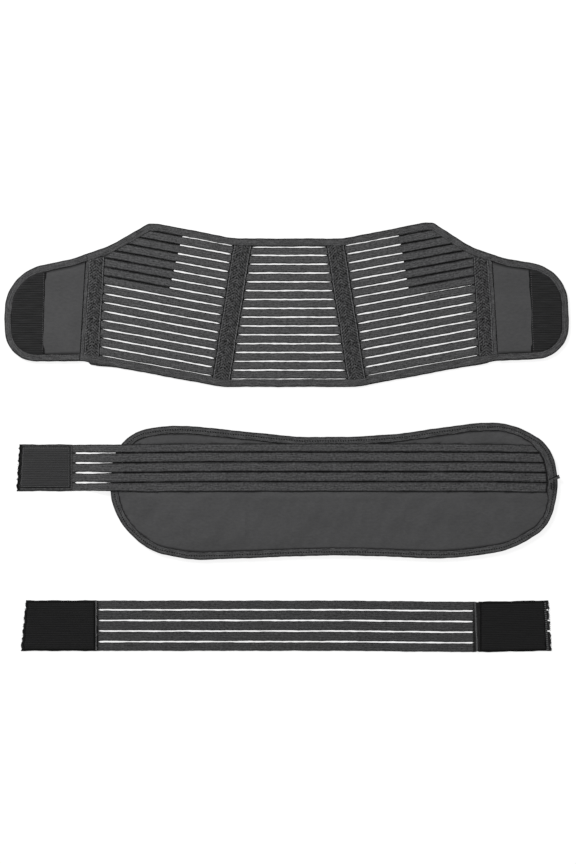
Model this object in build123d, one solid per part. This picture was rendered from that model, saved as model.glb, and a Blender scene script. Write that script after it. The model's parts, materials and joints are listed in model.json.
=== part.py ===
"""Lumbar support belt: a set of three textile pieces lying flat, inner faces up.

A slotted back brace with four stays lies at +Y, a padded belly band with an elastic tail
in the middle, and a plain slotted strap at -Y.  Millimetres, +X along the belts, +Z up,
origin at the centre of the set on the surface that it lies on.
"""
from build123d import *

import os

# --- Placing of the three pieces -------------------------------------------------------
BRACE_X = 3.6  # centreline of the brace
BRACE_Y = 71.8  # lower edge of the brace's centre panel
GAP = 0.3  # clearance between two bodies that fold or slide

# --- Cloth and webbing thicknesses -----------------------------------------------------
BINDING_T = 0.6
ELASTIC_T = 1.4
LINING_T = 0.5
FACE_T = 0.6
PATCH_T = 0.6
HOOK_T = 1.5
EDGE_T = 1.0  # cloth of a binding outside the edge that it wraps

# --- Back brace ------------------------------------------------------------------------
BINDING_W = 10.5
BRACE_SLOTS = 16
SLOT_PITCH = 12.8
SIDE_SLOT_PITCH = 12.95
SLOT_W = 2.6
TOP_SLOT_Y = 203.7  # centre panel's top slot
SIDE_SLOT_Y = 216.4  # side panel's top slot, at SIDE_SLOT_X
SIDE_SLOT_X = 143.6
SIDE_SLOPE = 0.183  # side slots rise outwards
WRAP_X = 113.6  # outer edge of the centre casings, at the lower edge
WRAP_SLOPE = -0.16
TAB_X = 306.2  # outer edge of the outer casings, at the lower edge
TAB_SLOPE = -0.0585
CASING_W = 27.0
OUTER_CASING_W = 23.0
SEAM_TAPE_W = 5.5
CASING_T = 1.6
STAY_W = 12.0
STAY_T = 1.0
STAY_END = 6.0  # casing left beyond each end of a stay
LEFT_HOOK_X = 352.8  # straight inner edges of the brace's hook patches
RIGHT_HOOK_X = 349.0
TAB_FOAM_T = 2.0

# --- Belly band ------------------------------------------------------------------------
BAND_BINDING_W = 11.5
BAND_FOAM_T = 3.0
BAND_WEB_Y = -45.0  # centreline of the webbing
BAND_WEB_W = 68.2
BAND_SLOT_PITCH = 14.3
BAND_LEFT_FOLD = -60.0
BAND_RIGHT_FOLD = 172.0
TAIL_FOLD = -259.0
TAIL_RAMP = 26.0  # length over which the tail comes down to the floor
TAIL_SLOTS_END = -310.0
TAIL_END = -391.0
TAIL_HOOK_MARGIN = 4.5
REAR_HOOK_X = (300.0, 372.0)

# --- Strap -----------------------------------------------------------------------------
STRAP_Y = -274.5
STRAP_W = 73.0
STRAP_SLOT_PITCH = 15.4
STRAP_LEFT_END = -386.4
STRAP_RIGHT_END = 384.3
STRAP_SLOTS = (-275.0, 270.4)
STRAP_FOLDS = (-92.0, 90.0)
SEAM_W = 8.0
FRAY = 6.0  # bare webbing beyond the right-hand hook patch
WEB_SLOTS = 4

FAR = 400.0  # reaches past every edge

# --- Heights ---------------------------------------------------------------------------
ELASTIC_Z = BINDING_T
ELASTIC_TOP = ELASTIC_Z + ELASTIC_T
CASING_TOP = ELASTIC_TOP + CASING_T
TAB_FOAM_Z = BINDING_T + LINING_T
TAB_FACE_Z = TAB_FOAM_Z + TAB_FOAM_T
TAB_TOP = TAB_FACE_Z + FACE_T
BAND_FOAM_Z = BINDING_T + FACE_T
BAND_FACE_Z = BAND_FOAM_Z + BAND_FOAM_T
BAND_TOP = BAND_FACE_Z + FACE_T
BAND_WEB_Z = BAND_TOP + BINDING_T
BAND_WEB_TOP = BAND_WEB_Z + ELASTIC_T

os.makedirs("parts", exist_ok=True)


def save(name, *solids):
    """Write one sub-part, made of one or more separate solids."""
    shape = solids[0] if len(solids) == 1 else Compound(children=list(solids))
    export_step(shape, f"parts/{name}.step")


def slab(face, low, high):
    """Extrude a flat region from one height to another."""
    return Pos(0, 0, low) * extrude(face, high - low)


def outline(corners):
    """A closed region from (x, y, corner radius) points."""
    points = [(x, y) for x, y, _ in corners]
    radii = [r for _, _, r in corners]
    return make_face(FilletPolyline(*points, radius=radii, close=True))


def quad(*points):
    return make_face(Polyline(*points, close=True))


def solids_of(shape):
    return list(shape.solids())


def wrapped(region, inner, core, zone, low, high):
    """Binding in a zone: two legs and the edge that joins them round the core's layers."""
    block = slab((region - inner) & zone, 0, high)
    return solids_of(block - slab(core, low, high - BINDING_T))


# --- Back brace ------------------------------------------------------------------------

def brace_half(side):
    """One half of the brace's outline, from its lower edge up to its top edge.

    The left-hand tab is longer, rounder and lower than the right-hand one.
    """
    left_tab = [(410, 36.3, 46), (413, 98, 150), (408.5, 165.5, 67)]
    right_tab = [(404, 42.5, 48), (406, 95, 150), (403, 172, 62)]
    left_peak = [(203.5, 237, 12), (189, 236.8, 60)]
    right_peak = [(209.5, 238.6, 12), (196, 238.5, 60)]
    return [
        (98, 0, 120),
        (300, 37.5, 80),
        *(left_tab if side < 0 else right_tab),
        (314, 186, 90),
        (262, 204, 90),
        *(left_peak if side < 0 else right_peak),
        (79, 215.4, 150),
    ]


def brace_point(side, x, y):
    return (BRACE_X + side * x, BRACE_Y + y)


def brace_line(x_at_foot, slope, y):
    """Distance from the centreline of a slanted seam, at height y above the foot."""
    return x_at_foot + slope * y


def between(side, inner, outer, low=-60, high=300):
    """Region between two slanted seams, each an (x at the foot, slope) pair."""
    return quad(
        brace_point(side, brace_line(*inner, low), low),
        brace_point(side, brace_line(*outer, low), low),
        brace_point(side, brace_line(*outer, high), high),
        brace_point(side, brace_line(*inner, high), high),
    )


def brace_outline():
    right = [(*brace_point(1, x, y), r) for x, y, r in brace_half(1)]
    left = [(*brace_point(-1, x, y), r) for x, y, r in brace_half(-1)]
    return outline(right + left[::-1])


def centre_slots():
    slots = []
    for i in range(BRACE_SLOTS):
        y = TOP_SLOT_Y - i * SLOT_PITCH
        reach = brace_line(WRAP_X, WRAP_SLOPE, y) - CASING_W + 3
        slots.append(Pos(BRACE_X, BRACE_Y + y) * Rectangle(2 * reach, SLOT_W))
    return Sketch() + slots


def side_slots(side, clear):
    """Slanting slots from the centre casing to under the outer casing."""
    slots = []
    for i in range(BRACE_SLOTS):
        y0 = SIDE_SLOT_Y - i * SIDE_SLOT_PITCH - SIDE_SLOPE * SIDE_SLOT_X
        slots.append(quad(
            brace_point(side, 0, y0 - SLOT_W / 2),
            brace_point(side, FAR, y0 + SIDE_SLOPE * FAR - SLOT_W / 2),
            brace_point(side, FAR, y0 + SIDE_SLOPE * FAR + SLOT_W / 2),
            brace_point(side, 0, y0 + SLOT_W / 2),
        ))
    start = (WRAP_X + 2, WRAP_SLOPE)
    end = (TAB_X - OUTER_CASING_W - SEAM_TAPE_W + 3, TAB_SLOPE)
    return (Sketch() + slots) & clear & between(side, start, end)


def stay_region(side, x_at_foot, slope, low, high):
    """Rounded strip along a slanted casing, between two heights."""
    start = Vector(*brace_point(side, brace_line(x_at_foot, slope, low), low))
    end = Vector(*brace_point(side, brace_line(x_at_foot, slope, high), high))
    along = end - start
    angle = Vector(1, 0).get_signed_angle(along, Vector(0, 0, 1))
    middle = (start + end) / 2
    strip = RectangleRounded(along.length, STAY_W, STAY_W / 2 - 0.5)
    return Pos(middle.X, middle.Y) * Rot(0, 0, angle) * strip


def casing_and_stay(name, strip, stay):
    """Herringbone casing with a closed pocket, and the stay that fills it."""
    rise = (CASING_T - STAY_T) / 2
    stay_solid = slab(stay, ELASTIC_TOP + rise, CASING_TOP - rise)
    save(f"{name}_casing", slab(strip, ELASTIC_TOP, CASING_TOP) - stay_solid)
    save(f"{name}_stay", stay_solid)


def make_brace():
    whole = brace_outline()
    core = offset(whole, -EDGE_T)
    inner = offset(whole, -BINDING_W)
    fitted = offset(whole, -BINDING_W - 0.2)  # what is sewn on between the bindings
    clear = offset(whole, -BINDING_W - 0.6)  # where slots may be cut
    half = GAP / 2
    wrap_in = (WRAP_X - half, WRAP_SLOPE)
    wrap_out = (WRAP_X + half, WRAP_SLOPE)
    tab_in = (TAB_X - half, TAB_SLOPE)
    tab_out = (TAB_X + half, TAB_SLOPE)

    centre = between(1, (0, 0), wrap_in) + between(-1, (0, 0), wrap_in)
    save("center_elastic", slab((core & centre) - centre_slots(), ELASTIC_Z, ELASTIC_TOP))
    save("center_binding", *wrapped(whole, inner, core, centre, ELASTIC_Z,
                                    ELASTIC_TOP + BINDING_T))

    for side, word, hook_x in ((-1, "left", LEFT_HOOK_X), (1, "right", RIGHT_HOOK_X)):
        inner_seam = (WRAP_X - CASING_W, WRAP_SLOPE)
        casing_and_stay(
            f"{word}_back",
            fitted & between(side, inner_seam, wrap_in),
            stay_region(side, WRAP_X - CASING_W / 2, WRAP_SLOPE, 17 + STAY_END,
                        201 - STAY_END),
        )

        zone = between(side, wrap_out, tab_in)
        elastic = (core & zone) - side_slots(side, clear)
        save(f"{word}_side_elastic", slab(elastic, ELASTIC_Z, ELASTIC_TOP))
        save(f"{word}_side_binding", *wrapped(whole, inner, core, zone, ELASTIC_Z,
                                              ELASTIC_TOP + BINDING_T))
        patch = quad(
            brace_point(side, 150, 240),
            brace_point(side, 175.5, 137),
            brace_point(side, 278, 156),
            brace_point(side, 270, 240),
        )
        save(f"{word}_loop_patch", slab(patch & fitted, 0, PATCH_T))

        outer_seam = (TAB_X - SEAM_TAPE_W, TAB_SLOPE)
        start_seam = (TAB_X - SEAM_TAPE_W - OUTER_CASING_W, TAB_SLOPE)
        casing_and_stay(
            f"{word}_end",
            fitted & between(side, start_seam, outer_seam),
            stay_region(side, TAB_X - SEAM_TAPE_W - OUTER_CASING_W / 2, TAB_SLOPE,
                        46 + STAY_END, 178 - STAY_END),
        )
        tape = fitted & between(side, outer_seam, tab_in)
        save(f"{word}_seam_tape", slab(tape, ELASTIC_TOP, ELASTIC_TOP + FACE_T))

        zone = between(side, tab_out, (FAR + 60, 0))
        layers = core & zone
        save(f"{word}_tab_lining", slab(layers, BINDING_T, TAB_FOAM_Z))
        save(f"{word}_tab_foam", slab(layers, TAB_FOAM_Z, TAB_FACE_Z))
        save(f"{word}_tab_loop_face", slab(layers, TAB_FACE_Z, TAB_TOP))
        save(f"{word}_tab_binding", *wrapped(whole, inner, core, zone, BINDING_T,
                                             TAB_TOP + BINDING_T))
        hook = fitted & between(side, (hook_x, 0), (FAR + 60, 0))
        save(f"{word}_tab_hook", slab(hook, TAB_TOP, TAB_TOP + HOOK_T))


# --- Belly band ------------------------------------------------------------------------

def band_outline():
    return outline([
        (238, -178, 400),
        (326, -165, 130),
        (382, -130, 60),
        (396, -68, 125),
        (384, -13, 60),
        (326, 20.5, 105),
        (272, 19.5, 250),
        (160, 3.6, 400),
        (104, 0, 400),
        (22, -1.2, 500),
        (-165, 18, 250),
        (-221, 7.5, 60),
        (-250.5, -22, 55),
        (-257.5, -84, 90),
        (-240, -129.5, 95),
        (-197, -168, 95),
        (-135, -179.5, 200),
        (75, -171.5, 1500),
    ])


def column(low, high):
    """Region between two X positions."""
    return Pos((low + high) / 2, 0) * Rectangle(high - low, 2 * FAR)


def webbing(low, high, centre, width, pitch, slot_low=None, slot_high=None):
    """Webbing between two X positions, with its four slots from slot_low to slot_high."""
    region = Pos((low + high) / 2, centre) * Rectangle(high - low, width)
    if slot_low is None:
        return region
    slots = [
        Pos((slot_low + slot_high) / 2, centre + (i - 1.5) * pitch)
        * Rectangle(slot_high - slot_low, SLOT_W)
        for i in range(WEB_SLOTS)
    ]
    return region - (Sketch() + slots)


def tail_webbing():
    """Tail that comes down from the pad's top to the floor, with its slots."""
    foot = TAIL_FOLD - TAIL_RAMP
    start = TAIL_FOLD - GAP / 2
    stop = TAIL_SLOTS_END + GAP / 2
    profile = make_face(Polyline(
        (start, BAND_WEB_Z), (start, BAND_WEB_TOP), (foot, ELASTIC_T), (stop, ELASTIC_T),
        (stop, 0), (foot, 0), close=True))
    upright = Plane.XZ * profile
    solid = extrude(Pos(0, BAND_WEB_Y + BAND_WEB_W / 2) * upright, BAND_WEB_W)
    for i in range(WEB_SLOTS):
        y = BAND_WEB_Y + (i - 1.5) * BAND_SLOT_PITCH
        span = Pos((stop + start) / 2, y) * Rectangle(start - stop - 4, SLOT_W)
        solid = solid - slab(span, -1, BAND_WEB_TOP + 1)
    return solid


def make_band():
    whole = band_outline()
    core = offset(whole, -EDGE_T)
    inner = offset(whole, -BAND_BINDING_W)
    fitted = offset(whole, -BAND_BINDING_W - 0.2)
    half = GAP / 2
    spans = {
        "left": (-FAR, BAND_LEFT_FOLD - half),
        "middle": (BAND_LEFT_FOLD + half, BAND_RIGHT_FOLD - half),
        "right": (BAND_RIGHT_FOLD + half, FAR),
    }
    web_end = 376.0
    for word, (low, high) in spans.items():
        zone = column(low, high)
        layers = core & zone
        save(f"band_{word}_lining", slab(layers, BINDING_T, BAND_FOAM_Z))
        save(f"band_{word}_foam", slab(layers, BAND_FOAM_Z, BAND_FACE_Z))
        save(f"band_{word}_front", slab(layers, BAND_FACE_Z, BAND_TOP))
        save(f"band_{word}_binding", *wrapped(whole, inner, core, zone, BINDING_T,
                                              BAND_TOP + BINDING_T))
        web_low = max(low, TAIL_FOLD + half)
        web_high = min(high, web_end)
        slot_low = web_low + 2
        slot_high = web_high - (4 if word == "right" else 2)
        web = webbing(web_low, web_high, BAND_WEB_Y, BAND_WEB_W, BAND_SLOT_PITCH,
                      slot_low, slot_high)
        save(f"band_{word}_webbing", slab(web, BAND_WEB_Z, BAND_WEB_TOP))

    save("tail_webbing", tail_webbing())
    base = webbing(TAIL_END, TAIL_SLOTS_END - half, BAND_WEB_Y, BAND_WEB_W,
                   BAND_SLOT_PITCH)
    save("tail_end_webbing", slab(base, 0, ELASTIC_T))
    hook_length = TAIL_SLOTS_END - TAIL_END - 2 * TAIL_HOOK_MARGIN
    hook = (Pos((TAIL_SLOTS_END + TAIL_END) / 2, BAND_WEB_Y)
            * RectangleRounded(hook_length, BAND_WEB_W - 2 * TAIL_HOOK_MARGIN, 1.5))
    save("tail_hook", slab(hook, ELASTIC_T, ELASTIC_T + HOOK_T))

    rear = (Pos(sum(REAR_HOOK_X) / 2, BAND_WEB_Y - 10)
            * RectangleRounded(REAR_HOOK_X[1] - REAR_HOOK_X[0], BAND_WEB_W, 6))
    save("band_rear_hook", slab(rear & fitted, 0, BINDING_T))
    join = Pos(386.5, -66) * RectangleRounded(8, 13, 1.2)
    save("binding_join", slab(join, BAND_TOP + BINDING_T, BAND_TOP + 2 * BINDING_T))


# --- Strap -----------------------------------------------------------------------------

def make_strap():
    half = GAP / 2
    cuts = [STRAP_SLOTS[0], *STRAP_FOLDS, STRAP_SLOTS[1]]
    for i, word in enumerate(("left", "middle", "right")):
        low = cuts[i] + half
        high = cuts[i + 1] - half
        slot_low = low + (4 if word == "left" else 2)
        slot_high = high - (4 if word == "right" else 2)
        web = webbing(low, high, STRAP_Y, STRAP_W, STRAP_SLOT_PITCH, slot_low, slot_high)
        save(f"strap_{word}_webbing", slab(web, 0, ELASTIC_T))

    left_end = webbing(STRAP_LEFT_END, cuts[0] - half, STRAP_Y, STRAP_W, 0)
    save("strap_left_end_webbing", slab(left_end, 0, ELASTIC_T))
    left_seam = webbing(cuts[0] - half - 3, cuts[0] - half, STRAP_Y, STRAP_W - 1, 0)
    save("strap_left_seam", slab(left_seam, ELASTIC_T, ELASTIC_T + BINDING_T))
    left_hook = webbing(STRAP_LEFT_END + 2, cuts[0] - half - 3.2, STRAP_Y, STRAP_W - 1, 0)
    save("strap_left_hook", slab(left_hook, ELASTIC_T, ELASTIC_T + HOOK_T))

    seam_high = cuts[3] + SEAM_W
    right_seam = webbing(cuts[3] + half, seam_high - half, STRAP_Y, STRAP_W, 0)
    save("strap_right_seam", slab(right_seam, 0, ELASTIC_T + BINDING_T))
    right_end = webbing(seam_high + half, STRAP_RIGHT_END, STRAP_Y, STRAP_W, 0)
    save("strap_right_end_webbing", slab(right_end, 0, ELASTIC_T))
    right_hook = webbing(seam_high + half, STRAP_RIGHT_END - FRAY, STRAP_Y, STRAP_W - 1, 0)
    save("strap_right_hook", slab(right_hook, ELASTIC_T, ELASTIC_T + HOOK_T))


make_brace()
make_band()
make_strap()
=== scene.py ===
"""Looks of a lumbar support belt set: back brace, belly band and strap, lying flat.

Shapes are worked out in millimetres in the frame's own axes and stored in metres.  Every
textile is a closed mesh with weave coordinates, a UV map in millimetres with u along the
yarn, and an "edge" value that is painted shade in its colour, 1 in full shade: along the
edges of strips and tapes, under bindings and webbing and at slot ends.  On casing and hook
tape a value above zero lightens the colour instead.  Materials read both.
"""

import json
import math

import bpy
import numpy as np
from mathutils.kdtree import KDTree
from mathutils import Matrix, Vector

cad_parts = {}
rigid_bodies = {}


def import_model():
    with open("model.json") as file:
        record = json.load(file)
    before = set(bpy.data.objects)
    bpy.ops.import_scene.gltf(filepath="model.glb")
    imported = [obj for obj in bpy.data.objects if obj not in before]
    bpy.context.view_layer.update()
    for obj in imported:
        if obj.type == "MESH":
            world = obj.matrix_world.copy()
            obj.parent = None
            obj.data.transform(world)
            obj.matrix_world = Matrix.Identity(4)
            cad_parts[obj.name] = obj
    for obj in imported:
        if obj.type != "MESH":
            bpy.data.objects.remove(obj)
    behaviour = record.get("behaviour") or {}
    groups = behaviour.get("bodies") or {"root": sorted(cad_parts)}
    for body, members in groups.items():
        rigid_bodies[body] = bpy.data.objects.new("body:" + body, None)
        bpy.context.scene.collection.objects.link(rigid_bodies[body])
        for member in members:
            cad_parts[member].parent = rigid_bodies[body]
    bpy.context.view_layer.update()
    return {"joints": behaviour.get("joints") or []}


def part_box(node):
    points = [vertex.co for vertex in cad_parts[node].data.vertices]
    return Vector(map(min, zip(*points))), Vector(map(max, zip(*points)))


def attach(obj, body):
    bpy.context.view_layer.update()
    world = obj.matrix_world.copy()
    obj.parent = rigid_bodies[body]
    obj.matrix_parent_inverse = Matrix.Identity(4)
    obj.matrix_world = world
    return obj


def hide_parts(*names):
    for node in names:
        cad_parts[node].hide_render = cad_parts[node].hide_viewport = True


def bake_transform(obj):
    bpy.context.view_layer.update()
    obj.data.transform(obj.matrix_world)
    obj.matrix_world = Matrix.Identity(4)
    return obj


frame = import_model()
MM = 0.001

# --- Driving dimensions, in millimetres, as the CAD model has them ----------------------
BRACE_X, BRACE_Y = 3.6, 71.8
BINDING_W = 10.5
SLOT_PITCH, SIDE_PITCH = 12.8, 12.95
STRIPS = 17
TOP_SLOT_Y = 203.7
SIDE_SLOT_X, SIDE_SLOT_Y, SIDE_SLOPE = 143.6, 216.4, 0.183
WRAP = (113.6, -0.16)  # x at the foot and slope of the centre casings' outer edge
TAB = (306.2, -0.0585)  # the same for the outer casings
CASING_W, OUTER_CASING_W, SEAM_TAPE_W = 27.0, 23.0, 5.5
HOOK_X = {"left": 352.8, "right": 349.0}
HOOK_LEAN = {"left": 2.7, "right": 3.7}  # how much further out its inner edge is at its foot
OUTER_CASING = (TAB[0] - SEAM_TAPE_W - OUTER_CASING_W, TAB[1])  # its inner edge
BACK_CASING = (WRAP[0] - CASING_W, WRAP[1])
BACK_AXIS = (WRAP[0] - CASING_W / 2, WRAP[1])
OUTER_AXIS = (TAB[0] - SEAM_TAPE_W - OUTER_CASING_W / 2, TAB[1])
SEAM_MIDDLE = 110  # height at which a slanted seam's place is taken
BACK_SEAM_Y = (8, 208)
SPLIT_X = 190.0  # a side panel bends at one end and stretches at the other, each side of this

REACH = {  # millimetres over which cloth bends or stretches at each kind of joint
    "wrap": 26, "side_stretch": 60, "tab_fold": 22, "band_wrap": 75, "tail_fold": 20,
    "tail_stretch": 24, "strap_wrap": 40, "strap_tab_fold": 16, "strap_stretch": 110,
}

BAND_BINDING_W = 11.5
BAND_WEB_Y, BAND_WEB_W, BAND_PITCH = -45.0, 68.2, 14.3
BAND_FOLDS = (-60.0, 172.0)
TAIL_FOLD, TAIL_STRIPS_END, TAIL_END = -259.0, -310.0, -391.0
TAIL_SPLIT = -283.0
STRAP_Y, STRAP_W, STRAP_PITCH = -274.5, 73.0, 15.4
STRAP_ENDS = (-386.4, 384.3)
STRAP_SLOTS = (-275.0, 270.4)
STRAP_FOLDS = (-92.0, 90.0)
STRAP_SPLIT = 140.0
SEAM_W, FRAY = 8.0, 6.0
STRAP_LOW = 0.1  # height of the webbing's underside
WEB_STRIPS = 5
OPEN_W = 1.85  # what shows of a slot between two soft strips


def level(node):
    """Lowest and highest z of a CAD node, in millimetres."""
    low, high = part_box(node)
    return low.z / MM, high.z / MM


# --- Numbers -----------------------------------------------------------------------------

def unit(v):
    return v / np.linalg.norm(v)


def directions(start, end):
    """Unit vectors along a straight run in the plane, and to the left of it."""
    way = unit(np.subtract(end, start))
    return way, np.array((-way[1], way[0]))


def smooth(t):
    t = np.clip(t, 0, 1)
    return t * t * (3 - 2 * t)


def lerp(a, b, t):
    return a + (b - a) * t


def ripple(s, length, seed):
    """Uneven wave between about -1 and 1 along s, with bends about a length apart."""
    s = np.asarray(s, float)
    phases = np.random.default_rng(seed).random(4)
    waves = [np.sin(2 * np.pi * (s * k / length + p)) / k
             for k, p in zip((1.0, 1.62, 2.71, 0.43), phases)]
    return sum(waves) / 2.6


def swell(x, y, length, seed):
    """Uneven surface between about -1 and 1, with hollows about a length apart."""
    total = 0
    for k, turn in enumerate(np.random.default_rng(seed).random(5) * np.pi):
        along = x * np.cos(turn) + y * np.sin(turn)
        total = total + ripple(along, length * (0.8 + 0.3 * k), seed * 7 + k)
    return total / 2.4


# --- Outlines ----------------------------------------------------------------------------

def rounded(corners):
    """Closed outline through (x, y, radius) corners, each rounded by an arc."""
    points = []
    for i, (x, y, radius) in enumerate(corners):
        corner = np.array((x, y), float)
        before = unit(np.array(corners[i - 1][:2]) - corner)
        after = unit(np.array(corners[(i + 1) % len(corners)][:2]) - corner)
        half = math.acos(np.clip(before @ after, -1, 1)) / 2
        centre = corner + unit(before + after) * radius / math.sin(half)
        spokes = [corner + way * radius / math.tan(half) - centre for way in (before, after)]
        start, end = (math.atan2(s[1], s[0]) for s in spokes)
        turn = (end - start + np.pi) % (2 * np.pi) - np.pi
        angles = np.linspace(start, start + turn, 17)
        points += [centre + radius * np.array((np.cos(a), np.sin(a))) for a in angles]
    return np.array(points)


class Rim:
    """A closed outline that runs anticlockwise, divided evenly, with inward normals."""

    STEP = 1.5

    def __init__(self, corners):
        line = rounded(corners)
        line = np.vstack([line, line[:1]])
        along = np.concatenate([[0], np.cumsum(np.linalg.norm(np.diff(line, axis=0), axis=1))])
        self.total = along[-1]
        count = int(self.total / self.STEP)
        self.s = np.arange(count) * self.total / count
        self.p = np.stack([np.interp(self.s, along, line[:, k]) for k in (0, 1)], axis=1)
        way = np.roll(self.p, -1, axis=0) - np.roll(self.p, 1, axis=0)
        way /= np.linalg.norm(way, axis=1)[:, None]
        self.n = np.stack([-way[:, 1], way[:, 0]], axis=1)
        self.tree = KDTree(count)
        for i, (x, y) in enumerate(self.p):
            self.tree.insert((x, y, 0), i)
        self.tree.balance()

    def at(self, s, inset):
        """Points at distances s along the outline, moved inwards by inset."""
        s = np.mod(s, self.total)
        ring = np.append(self.s, self.total)
        p = [np.interp(s, ring, np.append(self.p[:, k], self.p[0, k])) for k in (0, 1)]
        n = [np.interp(s, ring, np.append(self.n[:, k], self.n[0, k])) for k in (0, 1)]
        return p[0] + n[0] * inset, p[1] + n[1] * inset

    def heights(self, x, inset):
        """Lower and upper y of the outline, moved inwards by inset, at each x."""
        q = self.p + self.n * inset
        found = []
        for edge in (q[self.n[:, 1] > 0.05], q[self.n[:, 1] < -0.05]):
            edge = edge[np.argsort(edge[:, 0])]
            found.append(np.interp(x, edge[:, 0], edge[:, 1]))
        return found

    def depth(self, x, y):
        """Distance from each point to the outline, and where along it that is."""
        shape = np.shape(x)
        near = [self.tree.find((a, b, 0)) for a, b in zip(np.ravel(x), np.ravel(y))]
        return (np.array([d for _, _, d in near]).reshape(shape),
                self.s[[i for _, i, _ in near]].reshape(shape))

    def nearest(self, gap):
        """A distance along the outline, taken the shorter way round."""
        return np.mod(gap + self.total / 2, self.total) - self.total / 2

    def crossing(self, side, upper):
        """Distance along the outline where side(x, y) changes sign, on its upper or lower part."""
        value = side(self.p[:, 0], self.p[:, 1])
        change = np.nonzero(np.sign(value) != np.sign(np.roll(value, -1)))[0]
        pick = max if upper else min
        i = pick(change, key=lambda k: self.p[k, 1])
        after = value[(i + 1) % len(value)]
        return self.s[i] + (self.s[1] - self.s[0]) * value[i] / (value[i] - after)


# --- Meshes ------------------------------------------------------------------------------

def grid(u, t):
    """Two arrays that give u along the rows and t along the columns."""
    return np.meshgrid(u, t, indexing="ij")


def pair(u, v):
    """Weave coordinates out of u along the yarn and v across it."""
    return np.stack([u, v], -1)


def xyz(x, y, z):
    """Points out of their coordinates, each an array or one number for all of them."""
    return np.stack(np.broadcast_arrays(x, y, z), -1)


class Piece:
    """Collects the closed parts of one piece and makes its mesh."""

    def __init__(self, name):
        self.name = name
        self.points, self.uvs, self.edges, self.quads, self.slots = [], [], [], [], []
        self.count = 0

    def add(self, points, uv, edge, quads, slot):
        self.points.append(points.reshape(-1, 3))
        self.uvs.append(uv.reshape(-1, 2))
        self.edges.append(np.broadcast_to(edge, uv.shape[:-1]).reshape(-1))
        self.quads.append(quads + self.count)
        self.slots.append(np.full(len(quads), slot))
        self.count += points.reshape(-1, 3).shape[0]

    def slab(self, top, bottom, uv, edge=0.0, slot=0):
        """Closed sheet between two grids of points, each (rows, columns, 3)."""
        rows, cols = top.shape[:2]
        t = np.arange(rows * cols).reshape(rows, cols)
        b = t + rows * cols
        loops = [
            (t[:-1, :-1], t[1:, :-1], t[1:, 1:], t[:-1, 1:]),
            (b[:-1, :-1], b[:-1, 1:], b[1:, 1:], b[1:, :-1]),
            (t[:-1, 0], b[:-1, 0], b[1:, 0], t[1:, 0]),
            (t[1:, -1], b[1:, -1], b[:-1, -1], t[:-1, -1]),
            (t[0, 1:], b[0, 1:], b[0, :-1], t[0, :-1]),
            (t[-1, :-1], b[-1, :-1], b[-1, 1:], t[-1, 1:]),
        ]
        quads = np.concatenate([np.stack([np.ravel(c) for c in loop], 1) for loop in loops])
        points = np.concatenate([top.reshape(-1, 3), bottom.reshape(-1, 3)])
        a, c, d = (points[quads[:, k]] for k in (0, 1, 2))
        e = points[quads[:, 3]]
        volume = (a * np.cross(c, d)).sum() + (a * np.cross(d, e)).sum()
        if volume < 0:
            quads = quads[:, ::-1]
        uv2 = np.concatenate([uv.reshape(-1, 2)] * 2)
        edge2 = np.concatenate([np.broadcast_to(edge, (rows, cols)).reshape(-1)] * 2)
        self.add(points, uv2, edge2, quads, slot)

    def lay(self, x, y, top, bottom, uv, edge=0.0, slot=0):
        """Closed sheet over one grid of x and y, between two heights."""
        self.slab(xyz(x, y, top), xyz(x, y, bottom), uv, edge, slot)

    def threads(self, start, end, radius, slot, hump=0.2):
        """Short rounded stitches between start and end points, each (n, 3)."""
        if len(start) == 0:
            return
        way = end - start
        length = np.linalg.norm(way, axis=1)[:, None]
        way = way / length
        aside = np.cross(way, (0.0, 0.0, 1.0))
        aside /= np.linalg.norm(aside, axis=1)[:, None] + 1e-9
        up = np.cross(aside, way)
        rings, sides = 5, 6
        turn = np.arange(sides) * 2 * np.pi / sides
        body = []
        for k, fat in enumerate((0.45, 0.9, 1.0, 0.9, 0.45)):
            t = k / (rings - 1)
            centre = start + way * length * t + up * (hump * (4 * t * (1 - t) - 0.5))
            for a in turn:
                body.append(centre + (aside * np.cos(a) + up * np.sin(a)) * radius * fat)
        points = np.stack(body, 1)
        index = np.arange(rings * sides).reshape(rings, sides)
        side = np.roll(index, -1, axis=1)
        quads = np.stack([index[:-1], side[:-1], side[1:], index[1:]], -1).reshape(-1, 4)
        caps = [[index[0, 3], index[0, 2], index[0, 1], index[0, 0]],
                [index[0, 5], index[0, 4], index[0, 3], index[0, 0]],
                [index[-1, 0], index[-1, 1], index[-1, 2], index[-1, 3]],
                [index[-1, 0], index[-1, 3], index[-1, 4], index[-1, 5]]]
        quads = np.concatenate([quads, caps])[:, ::-1]
        every = (quads[None] + (np.arange(len(start)) * rings * sides)[:, None, None])
        u = np.repeat(np.linspace(0, 1, rings), sides) * 3
        uv = np.broadcast_to(pair(u, 0 * u), (len(start), rings * sides, 2))
        self.add(points, uv, 0.0, every.reshape(-1, 4), slot)

    def build(self, materials):
        points = np.concatenate(self.points) * MM
        quads = np.concatenate(self.quads)
        mesh = bpy.data.meshes.new(self.name)
        mesh.from_pydata(points.tolist(), [], quads.tolist())
        mesh.polygons.foreach_set("material_index", np.concatenate(self.slots).astype(np.int32))
        uv = np.concatenate(self.uvs)
        layer = mesh.uv_layers.new(name="weave")
        layer.data.foreach_set("uv", uv[quads.reshape(-1)].astype(np.float32).reshape(-1))
        value = mesh.attributes.new("edge", "FLOAT", "POINT")
        value.data.foreach_set("value", np.concatenate(self.edges).astype(np.float32))
        for m in materials:
            mesh.materials.append(m)
        mesh.shade_smooth()
        mesh.set_sharp_from_angle(angle=math.radians(55))
        mesh.validate()
        obj = bpy.data.objects.new(self.name, mesh)
        bpy.context.scene.collection.objects.link(obj)
        return obj


# --- Materials ---------------------------------------------------------------------------

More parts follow.
